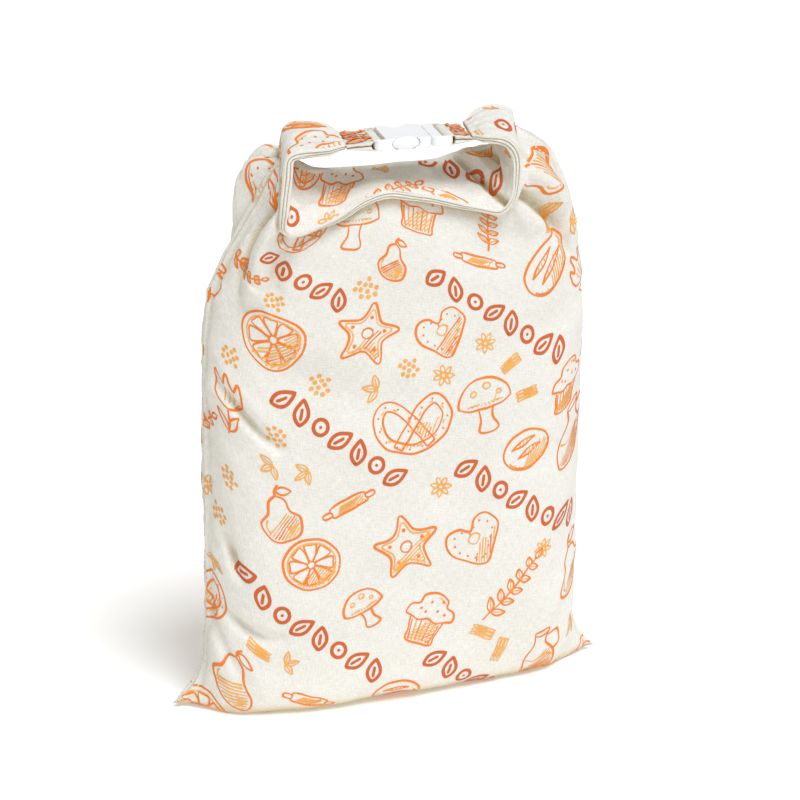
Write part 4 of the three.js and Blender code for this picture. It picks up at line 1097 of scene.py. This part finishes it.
def build_band():
    k = np.arange(BAND_K)
    W, T, a = _W, _T, _along
    r, rb = T / 2, T / 6
    e = [0.9 * ripple("lay%d" % i, a, a * 0 + 7 * i, 40) - 0.5 * (i == 1) for i in range(3)]
    cols = []                                       # (w, o) arrays over the stations
    for t in np.linspace(0, 1, 64):
        w = mix(W / 2 - r, -W / 2 + rb + 0.4, t)
        cols.append((w, -T / 2 - band_relief(a, w, W, "in")))
    for i in range(3):
        oc = -T / 2 + rb + 2 * rb * i
        for phi in np.radians(np.linspace(-78, 78, 7)):
            cols.append((-W / 2 + rb + 0.5 + e[i] * 0.6 - 1.25 * rb * math.cos(phi), oc + rb * 0.98 * math.sin(phi)))
        if i < 2:
            cols.append((-W / 2 + rb + 2.6 + 0 * a, oc + rb))
    for t in np.linspace(0, 1, 40):
        w = mix(-W / 2 + rb + 0.4, W / 2 - r, t)
        cols.append((w, T / 2 + band_relief(a, w, W, "outer")))
    for phi in np.radians(np.linspace(75, -75, 9)):
        cols.append((W / 2 - r + r * math.cos(phi), r * math.sin(phi)))
    fw, fo = band_taper(a)
    ring = np.stack([_mid + _bf["w"] * (w * fw)[:, None] + _bf["out"] * (o * fo)[:, None] for w, o in cols], 1)   # (K, M, 3)
    ring[:20, :, 0] = np.minimum(ring[:20, :, 0], BAND_END_L)
    ring[-20:, :, 0] = np.maximum(ring[-20:, :, 0], BAND_END_R)
    K, M = ring.shape[:2]
    v = ring.reshape(-1, 3)
    i, j = np.meshgrid(np.arange(M), np.arange(K - 1))
    p, q = (j * M + i).ravel(), (j * M + (i + 1) % M).ravel()
    f = np.concatenate([np.stack([p, q, p + M], 1), np.stack([q, q + M, p + M], 1)])
    caps = []
    for base, c, turn in ((0, len(v), 0), ((K - 1) * M, len(v) + 1, 1)):
        m = np.arange(M)
        t = np.stack([np.full(M, c), base + m, base + (m + 1) % M], 1)
        caps.append(t[:, ::-1] if not turn else t)
    v = np.vstack([v, ring[0].mean(0), ring[-1].mean(0)])
    f = np.concatenate([f] + caps)
    tri = v[f]
    vol = float((tri[:, 0] * np.cross(tri[:, 1], tri[:, 2])).sum() / 6)
    if vol < 0:
        f = f[:, ::-1]
    around = np.r_[0, np.cumsum(np.linalg.norm(np.diff(ring, axis=1), axis=2).mean(0))]
    uv = np.stack([np.repeat(a, M), np.tile(around, K)], 1)
    uv = np.vstack([uv, [0, around[-1] / 2], [a[-1], around[-1] / 2]])
    bake = uv / [a[-1] * 1.01, around[-1] * 1.04] + 0.004
    o = new_object("mouth_roll", v, f, {"cloth": uv * MM, "OFBake": bake}, [CREAM])
    return o


def band_placer(face):
    def place(aa, bb):
        """aa from the middle of the band's length, bb across from its middle."""
        a = aa + BAND_LENGTH / 2
        W = np.interp(a, _along, _W)
        T = np.interp(a, _along, _T)
        get = lambda arr: np.stack([np.interp(a, _along, arr[:, k]) for k in range(3)], 1)
        mid, wv, ov = get(_mid), unit(get(_bf["w"])), unit(get(_bf["out"]))
        sgn = -1 if face == "in" else 1
        h = T / 2 + band_relief(a, bb, W, face)
        inside = (a > 2) & (a < BAND_LENGTH - 2) & (bb > -W / 2 + 1.6) & (bb < W / 2 - 3.8)
        fw, fo = band_taper(a)
        return mid + wv * (bb * fw)[:, None] + ov * (sgn * h * fo)[:, None], ov * sgn, inside
    return place


def ride(obj, *nodes, slot="canvas"):
    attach(obj, "root")
    if nodes:
        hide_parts(*nodes)
    return obj


mouth = ride(build_band(), "rolled_mouth")
_sheet_s = np.linspace(-1, 1, 46)
BAND_SHEET = np.concatenate([_mid[::2] + _bf["w"][::2] * (s * (_W[::2] / 2 - _T[::2] / 2))[:, None] for s in _sheet_s])
BAND_TREE = tree_of(BAND_SHEET)

# ------------------------------------------------------------------ build: the panels and their print
ROWS_FRONT = [(-96, 404, -36, 5), (70, 352, -37, 8), (-62, 268, -38, 7), (92, 196, -36, 8), (-84, 110, -37, 8), (62, 40, -38, 7)]
ROWS_BACK = [(84, 410, -36, 6), (-50, 340, -37, 8), (70, 240, -38, 8), (-80, 170, -36, 8), (60, 80, -37, 8), (-110, 40, -38, 5)]


def placer(S, N):
    G, u, q = S["G"], S["u"], S["q"]
    nu, nv = len(u), len(q)

    def place(a, b):
        fi = np.interp(a / FLAT_WIDTH + 0.5, u, np.arange(nu))
        fj = np.interp(b, q, np.arange(nv))
        i, j = np.minimum(fi.astype(int), nu - 2), np.minimum(fj.astype(int), nv - 2)
        s, t = (fi - i)[:, None], (fj - j)[:, None]
        pick = lambda A: (A[j, i] * (1 - s) * (1 - t) + A[j, i + 1] * s * (1 - t) + A[j + 1, i] * (1 - s) * t + A[j + 1, i + 1] * s * t)
        return pick(G), unit(pick(N)), (np.abs(a) < FLAT_WIDTH / 2 - 1.2) & (b > 2) & (b < TOP_Q - 1.0)
    return place


def build_panel(side):
    S = panel_surface(side)
    G = keep_off(S["G"], BAND_SHEET, BAND_THICK / 2 + 0.3, BAND_TREE)
    # the top edge goes on in among the roll's layers
    core = np.array([BAND_TREE.find(p)[0][:] for p in G[-1]])
    G = np.concatenate([G, [mix(G[-1], core, 0.35)], [mix(G[-1], core, 0.8)]])
    for k, add in (("P", 0.0), ("Q", 1.0)):
        S[k] = np.vstack([S[k], S[k][-1:] + 2 * add, S[k][-1:] + 4 * add])
    S["q"] = np.r_[S["q"], TOP_Q + 2, TOP_Q + 4]
    S["G"] = G
    N = grid_normals(G, side)
    nv, nu = G.shape[:2]
    # the cloth turns in at the side seams, where both panels meet in one line
    inn = np.empty((nv, nu + 2, 3))
    inn[:, 1:-1] = G
    seam = np.concatenate([S["seam"], S["seam"][-1:], S["seam"][-1:]])
    for c, e in ((0, 0), (nu + 1, 1)):
        to = np.stack([0 * seam[:, e, 0], 0.6 * seam[:, e, 1], np.minimum(seam[:, e, 2], 300)], 1)
        inn[:, c] = seam[:, e] + unit(to - seam[:, e]) * 1.5
    inn[..., 2] = np.maximum(inn[..., 2], 0.05)
    f = grid_faces(nv, nu + 2, side > 0)
    P = np.hstack([S["P"][:, :1] - 2.5, S["P"], S["P"][:, -1:] + 2.5])
    Q = np.hstack([S["Q"][:, :1], S["Q"], S["Q"][:, -1:]])
    uv = np.stack([P.ravel(), Q.ravel()], 1)
    bake = lambda c: np.stack([c[:, 0] / 368 + 0.5, c[:, 1] / 468 + 0.005], 1)
    name = "front" if side < 0 else "back"
    o = new_object(name + "_cloth", inn.reshape(-1, 3), f, {"cloth": uv * MM, "OFBake": bake(uv)}, [CREAM])
    ride(o, name + "_panel")
    ink = Ink(placer(S, N))
    layout(ink, FLAT_WIDTH, TOP_Q, ROWS_FRONT if side < 0 else ROWS_BACK, 5 if side < 0 else 9)
    pr = ink.object(name + "_print", False, bake)
    ride(pr)
    return o, pr, S, N


front, front_print, SF, NF = build_panel(-1)
back, back_print, SB, NB = build_panel(1)

band_prints = []
for face, rows, seed in (("in", [(62, 8, -30, 4), (-96, -6, -30, 3)], 31), ("outer", [(-60, 0, -30, 4), (120, 4, -32, 3)], 37)):
    ink = Ink(band_placer(face))
    shifted = Ink(lambda a, b, pl=ink.place: pl(a, b - 26))
    layout(shifted, BAND_LENGTH, 52, [(a, b + 26, t, n) for a, b, t, n in rows], seed, 52)
    pr = shifted.object("mouth_print_" + face, False,
                        lambda c: np.stack([c[:, 0] / (BAND_LENGTH * 1.02) + 0.5, c[:, 1] / 80 + 0.15], 1))
    ride(pr)
    band_prints.append(pr)

# ------------------------------------------------------------------ build: tabs and buckle
BUCKLE = Matrix.Translation(Vector((0, -39, 457.5)) * MM) @ Matrix.Rotation(math.radians(7), 4, "X")


TAB_BARS = {-1: (BAND_END_L - 1.2, -27.0, -23.4), 1: (BAND_END_R + 1.2, 34.5, 30.9)}     # where the cloth starts, the bar's far and near side
TAB_Z = 3.45


def tab_flare(x, bar1):
    return 1.03 + 0.20 * (np.abs(x - bar1) / 22) ** 2


def tab_crumple(dir_, x, y):
    """The tab's cloth is bunched: soft ridges along it and one across before the bar."""
    return 0.22 * ripple("tab%d" % dir_, x * 2, x * 0 + y, 13, 1) + 0.30 * np.sin(y / 1.9 + 0.22 * (x - 3) + dir_) * np.exp(-((np.abs(x - TAB_BARS[dir_][0]) / 9) ** 2))


def build_tab(dir_, node):
    if dir_ < 0:
        x0, bar0, bar1 = TAB_BARS[-1]
    else:
        x0, bar0, bar1 = TAB_BARS[1]
    far = bar1 - dir_ * 2.6                          # past the bar
    zc, th = TAB_Z, 0.65                             # middle of the cloth, half its thickness
    path = roundspline([(x0, 1.5), (mix(x0, bar0, 0.35), 2.6), (mix(x0, bar0, 0.8), zc), (bar1, zc), (far - 0 * dir_, zc * 0.62), (far - dir_ * 0.35, 0),
                        (far, -zc * 0.62), (bar1, -zc), (mix(x0, bar0, 0.8), -zc), (mix(x0, bar0, 0.35), -2.6), (x0, -1.5)], False, 0.45)
    t = unit(np.gradient(path, axis=0))
    n = np.stack([-t[:, 1], t[:, 0]], 1)
    outer, inner = path + n * th * dir_, path - n * th * dir_
    inner[:, 1] *= mix(0.06, 1.0, smooth((np.abs(inner[:, 0] - x0) / abs(bar0 - x0) - 0.88) / 0.12))
    ring = np.vstack([outer, inner[::-1]])
    M = len(ring)
    ys = np.linspace(-13, 13, 53)
    d = np.r_[0, np.cumsum(np.linalg.norm(np.diff(ring, axis=0), axis=1))]
    rows = []
    for y in ys:
        lean = 0.10 * (ring[:, 0] - x0) * dir_
        w = tab_flare(ring[:, 0], bar1)
        z = ring[:, 1] + tab_crumple(dir_, ring[:, 0], y)
        rnd = 1 - 0.5 * np.exp(-((13 - abs(y)) / 0.7) ** 2)
        mid = np.vstack([path, path[::-1]])
        xx = mid[:, 0] + (ring[:, 0] - mid[:, 0]) * rnd
        zz = mid[:, 1] + (z - mid[:, 1]) * rnd
        xx = np.maximum(xx, x0) if dir_ < 0 else np.minimum(xx, x0)
        rows.append(np.stack([xx, y * w + lean, zz], 1))
    v = np.concatenate(rows)
    K = len(ys)
    i, j = np.meshgrid(np.arange(M), np.arange(K - 1))
    p, q = (j * M + i).ravel(), (j * M + (i + 1) % M).ravel()
    f = np.stack([p, q, q + M, p + M], 1)
    h = len(path)
    for base, rev in ((0, True), ((K - 1) * M, False)):
        a = np.arange(h - 1)
        c = np.stack([base + a, base + a + 1, base + 2 * h - 2 - a, base + 2 * h - 1 - a], 1)
        f = np.concatenate([f, c[:, ::-1] if rev else c])
    tri = np.concatenate([f[:, [0, 1, 2]], f[:, [0, 2, 3]]])
    tv = v[tri]
    if float((tv[:, 0] * np.cross(tv[:, 1], tv[:, 2])).sum()) < 0:
        f = f[:, ::-1]
    uv = np.stack([np.tile(d, K), np.repeat(ys, M)], 1)
    bake = np.stack([uv[:, 0] / (d[-1] * 1.02) + 0.01, uv[:, 1] / 27 + 0.5], 1)
    o = new_object(node + "_cloth", v, f, {"cloth": uv * MM, "OFBake": bake}, [CREAM])
    o.data.transform(BUCKLE)
    ride(o, node)
    return o


tab_l, tab_r = build_tab(-1, "tab_left"), build_tab(1, "tab_right")


def ellipsoid(name, centre, radii, matrix):
    import bmesh
    bm = bmesh.new()
    bmesh.ops.create_uvsphere(bm, u_segments=40, v_segments=24, radius=1.0)
    me = bpy.data.meshes.new(name)
    bm.to_mesh(me)
    bm.free()
    me.transform(matrix @ Matrix.Translation(Vector(centre) * MM) @ Matrix.Diagonal((*(r * MM for r in radii), 1)))
    o = bpy.data.objects.new(name, me)
    bpy.context.scene.collection.objects.link(o)
    return o


def box(name, centre, half, matrix):
    corners = [Vector(centre) + Vector((x * half[0], y * half[1], z * half[2])) for x in (-1, 1) for y in (-1, 1) for z in (-1, 1)]
    me = bpy.data.meshes.new(name)
    me.from_pydata([matrix @ (c * MM) for c in corners], [],
                   [(0, 1, 3, 2), (4, 6, 7, 5), (0, 4, 5, 1), (2, 3, 7, 6), (0, 2, 6, 4), (1, 5, 7, 3)])
    o = bpy.data.objects.new(name, me)
    bpy.context.scene.collection.objects.link(o)
    return o


def flatten_modifiers(o, name):
    bpy.context.view_layer.update()
    me = bpy.data.meshes.new_from_object(o.evaluated_get(bpy.context.evaluated_depsgraph_get()))
    me.name = name
    old = o.data
    o.modifiers.clear()
    o.data = me
    bpy.data.meshes.remove(old)


PAD = (-2.9, 10.3, 5.0)                      # middle, half length and half height of a prong's oval pad


def build_plastic(node, name):
    me = frame["nodes"][node].data.copy()
    me.name = name
    me.materials.clear()
    o = bpy.data.objects.new(name, me)
    bpy.context.scene.collection.objects.link(o)
    extra = []
    if node == "buckle_socket":
        for side in (-1, 1):
            # the window's corners are closed behind its oval rim
            rim = box("rim", (PAD[0], side * 14.0, 0), (11.6, 1.15, 3.5), BUCKLE)
            m = o.modifiers.new("rim", "BOOLEAN")
            m.operation, m.object, m.solver = "UNION", rim, "EXACT"
            extra.append(rim)
            cut = ellipsoid("cut", (PAD[0], side * 15.2, 0.7), (PAD[1] + 0.75, 4.4, PAD[2] + 0.7), BUCKLE)
            m = o.modifiers.new("cut", "BOOLEAN")
            m.operation, m.object, m.solver = "DIFFERENCE", cut, "EXACT"
            extra.append(cut)
    else:
        for side in (-1, 1):
            pad = ellipsoid("pad", (PAD[0], side * 14.2, 0.6), (PAD[1] + 0.3, 3.5, PAD[2] + 0.15), BUCKLE)
            m = o.modifiers.new("pad", "BOOLEAN")
            m.operation, m.object, m.solver = "UNION", pad, "EXACT"
            extra.append(pad)
    flatten_modifiers(o, name)
    for e in extra:
        d = e.data
        bpy.data.objects.remove(e)
        bpy.data.meshes.remove(d)
    m = o.modifiers.new("moulded", "REMESH")
    m.mode, m.voxel_size, m.use_smooth_shade = "VOXEL", 0.00042, True
    m = o.modifiers.new("edges", "SMOOTH")
    m.factor, m.iterations = 0.5, 5
    flatten_modifiers(o, name)
    o.data.materials.clear()
    o.data.materials.append(PLASTIC)
    for p in o.data.polygons:
        p.use_smooth = True
    ride(o, node, slot="buckle_plastic")
    return o


socket = build_plastic("buckle_socket", "buckle_socket_body")
prongs = build_plastic("buckle_prongs", "buckle_prong_body")

# ------------------------------------------------------------------ build: prints and stitches on the tabs
THREAD = canvas_material("thread", (0.80, 0.77, 0.68), (0.95, 0.93, 0.86), yarn=0.3)


def tab_placer(dir_):
    x0, bar0, bar = TAB_BARS[dir_]
    r = abs(bar0 - x0) / abs(bar - x0)
    xs = np.array([0, 0.35 * r, 0.8 * r, 1.0])
    zs = np.array([1.5, 2.6, TAB_Z, TAB_Z])

    def place(a, b):
        """a from the band's end towards the buckle, b across."""
        x = x0 - dir_ * a if dir_ > 0 else x0 + a
        t = a / abs(bar - x0)
        z = np.interp(t, xs, zs) + 0.65 + tab_crumple(dir_, x, b) + 0.08
        p = np.stack([x, b * tab_flare(x, bar) + 0.10 * (x - x0) * dir_, z], 1)
        m = np.array(BUCKLE)
        p = p @ m[:3, :3].T + m[:3, 3] / MM
        n = np.repeat(m[:3, 2][None], len(p), 0)
        return p, n, (a > 0.4) & (a < abs(bar - x0) - 0.5) & (np.abs(b) < 12.0)
    return place


for dir_, name in ((-1, "tab_left"), (1, "tab_right")):
    ink = Ink(tab_placer(dir_))
    g = np.random.default_rng(70 + dir_)
    long = abs(TAB_BARS[dir_][2] - TAB_BARS[dir_][0]) - 1.5
    for y, lean, share, wide, colour in ((-7.0, 10, 0.86, 3.3, 0), (1.5, -7, 0.74, 2.9, 2), (8.6, 6, 0.80, 2.4, 0)):
        lf = leaf(0.06 * long, y - 0.5 * lean * 0.1, lean, share * long, wide)
        ink.stroke(np.vstack([lf, lf[:2]]), 1.7, colour)
        ink.stroke([(0.25 * long, y), (0.55 * long, y + 0.04 * lean * long / 10)], 1.1, colour)
    for k in range(5):
        x, y = long * g.uniform(0.55, 0.95), -10 + 4.9 * k + g.uniform(-0.8, 0.8)
        ink.stroke([(x, y), (x + 2.2, y + g.uniform(-0.6, 0.6))], 1.5, 1)
    pr = ink.object(name + "_print", False, lambda c: np.stack([c[:, 0] / 26 + 0.03, c[:, 1] / 27 + 0.5], 1))
    ride(pr)


def stitch_row(place, line, name, bake, long=2.5, between=0.9, width=0.5):
    """A row of thread stitches along a line on the cloth."""
    line = resample(np.asarray(line, float), 0.35)
    d = np.r_[0, np.cumsum(np.linalg.norm(np.diff(line, axis=0), axis=1))]
    t = Ink(place)
    s = 0.5
    while s + long < d[-1]:
        k = np.linspace(s, s + long, 7)
        pts = np.stack([np.interp(k, d, line[:, 0]), np.interp(k, d, line[:, 1])], 1)
        t.n = 4
        t.stroke(pts, np.full(7, width), 0)
        s += long + between
    v, uv = np.concatenate(t.v), np.concatenate(t.uv)
    f = np.concatenate(t.f)
    o = new_object(name, v, f, {"cloth": uv * MM, "OFBake": bake(uv)}, [THREAD])
    return ride(o)


panel_bake = lambda c: np.stack([c[:, 0] / 368 + 0.5, c[:, 1] / 468 + 0.005], 1)
for S, N, name in ((SF, NF, "front"), (SB, NB, "back")):
    pl = placer(S, N)
    for e, tag in ((-1, "left"), (1, "right")):
        stitch_row(pl, [(e * 174.6, 14), (e * 174.6, 452)], name + "_stitch_" + tag, panel_bake)
for dir_, name in ((-1, "tab_left"), (1, "tab_right")):
    seam_x = 0.62 * abs(TAB_BARS[dir_][1] - TAB_BARS[dir_][0])
    stitch_row(tab_placer(dir_), [(seam_x, -11.2), (seam_x, 11.2)], name + "_stitch", lambda c: np.stack([c[:, 0] / 26 + 0.03, c[:, 1] / 27 + 0.5], 1), 2.0, 0.7)

# ------------------------------------------------------------------ floor, light and camera
floor_mat = bpy.data.materials.new("floor")
nt, b = nodes_of(floor_mat)
noise = add_node(nt, "ShaderNodeTexNoise", Scale=3.0, Detail=2.0)
ramp = nt.nodes.new("ShaderNodeValToRGB")
ramp.color_ramp.elements[0].color = (0.945, 0.945, 0.94, 1)
ramp.color_ramp.elements[1].color = (0.965, 0.965, 0.96, 1)
nt.links.new(noise.outputs["Fac"], ramp.inputs["Fac"])
nt.links.new(ramp.outputs[0], b.inputs["Base Color"])
b.inputs["Roughness"].default_value = 0.9
b.inputs["Emission Color"].default_value = (1, 1, 1, 1)
b.inputs["Emission Strength"].default_value = 0.24
fv = [(-6000, -4000, 0), (6000, -4000, 0), (6000, 6000, 0), (-6000, 6000, 0)]
floor = new_object("floor", fv, [(0, 1, 2, 3)], {"UVMap": [(0, 0), (1, 0), (1, 1), (0, 1)]}, [floor_mat], None, False)

world = bpy.data.worlds.new("studio")
bpy.context.scene.world = world
world.use_nodes = True
world.node_tree.nodes["Background"].inputs["Color"].default_value = (1.0, 0.95, 0.83, 1)
world.node_tree.nodes["Background"].inputs["Strength"].default_value = 0.36


def area_light(name, place, aim, size, watts, colour=(1, 1, 1)):
    d = bpy.data.lights.new(name, "AREA")
    d.shape, d.size, d.energy, d.color = "SQUARE", size, watts, colour
    o = bpy.data.objects.new(name, d)
    o.location = place
    o.rotation_euler = (Vector(aim) - Vector(place)).to_track_quat("-Z", "Y").to_euler()
    bpy.context.scene.collection.objects.link(o)
    return o


area_light("fill", (-2.2, -1.4, 1.2), (0, 0, 0.25), 2.0, 3, (1.0, 0.98, 0.94))
sun_data = bpy.data.lights.new("key", "SUN")
sun_data.energy, sun_data.angle, sun_data.color = 2.42, math.radians(28), (0.96, 1.0, 1.07)
sun = bpy.data.objects.new("key", sun_data)
sun.rotation_euler = Vector((-0.17, 0.465, -0.87)).to_track_quat("-Z", "Y").to_euler()
bpy.context.scene.collection.objects.link(sun)

bpy.context.scene.view_settings.view_transform = "Standard"

cam_data = bpy.data.cameras.new("camera")
cam_data.lens, cam_data.sensor_width = 108.9, 36.0
cam_data.clip_start, cam_data.clip_end = 0.05, 50
cam = bpy.data.objects.new("camera", cam_data)
cam.location = (-0.54456, -1.70676, 0.85593)
cam.rotation_euler = (Vector((0.010, 0, 0.238)) - Vector(cam.location)).to_track_quat("-Z", "Y").to_euler()
bpy.context.scene.collection.objects.link(cam)
bpy.context.scene.camera = cam

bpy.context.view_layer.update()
total = 0
for o in bpy.context.scene.objects:
    if o.type == "MESH" and not o.hide_render:
        t = sum(len(p.vertices) - 2 for p in o.data.polygons)
        total += t
        print("TRIANGLES", o.name, t)
print("TRIANGLES in all", total)
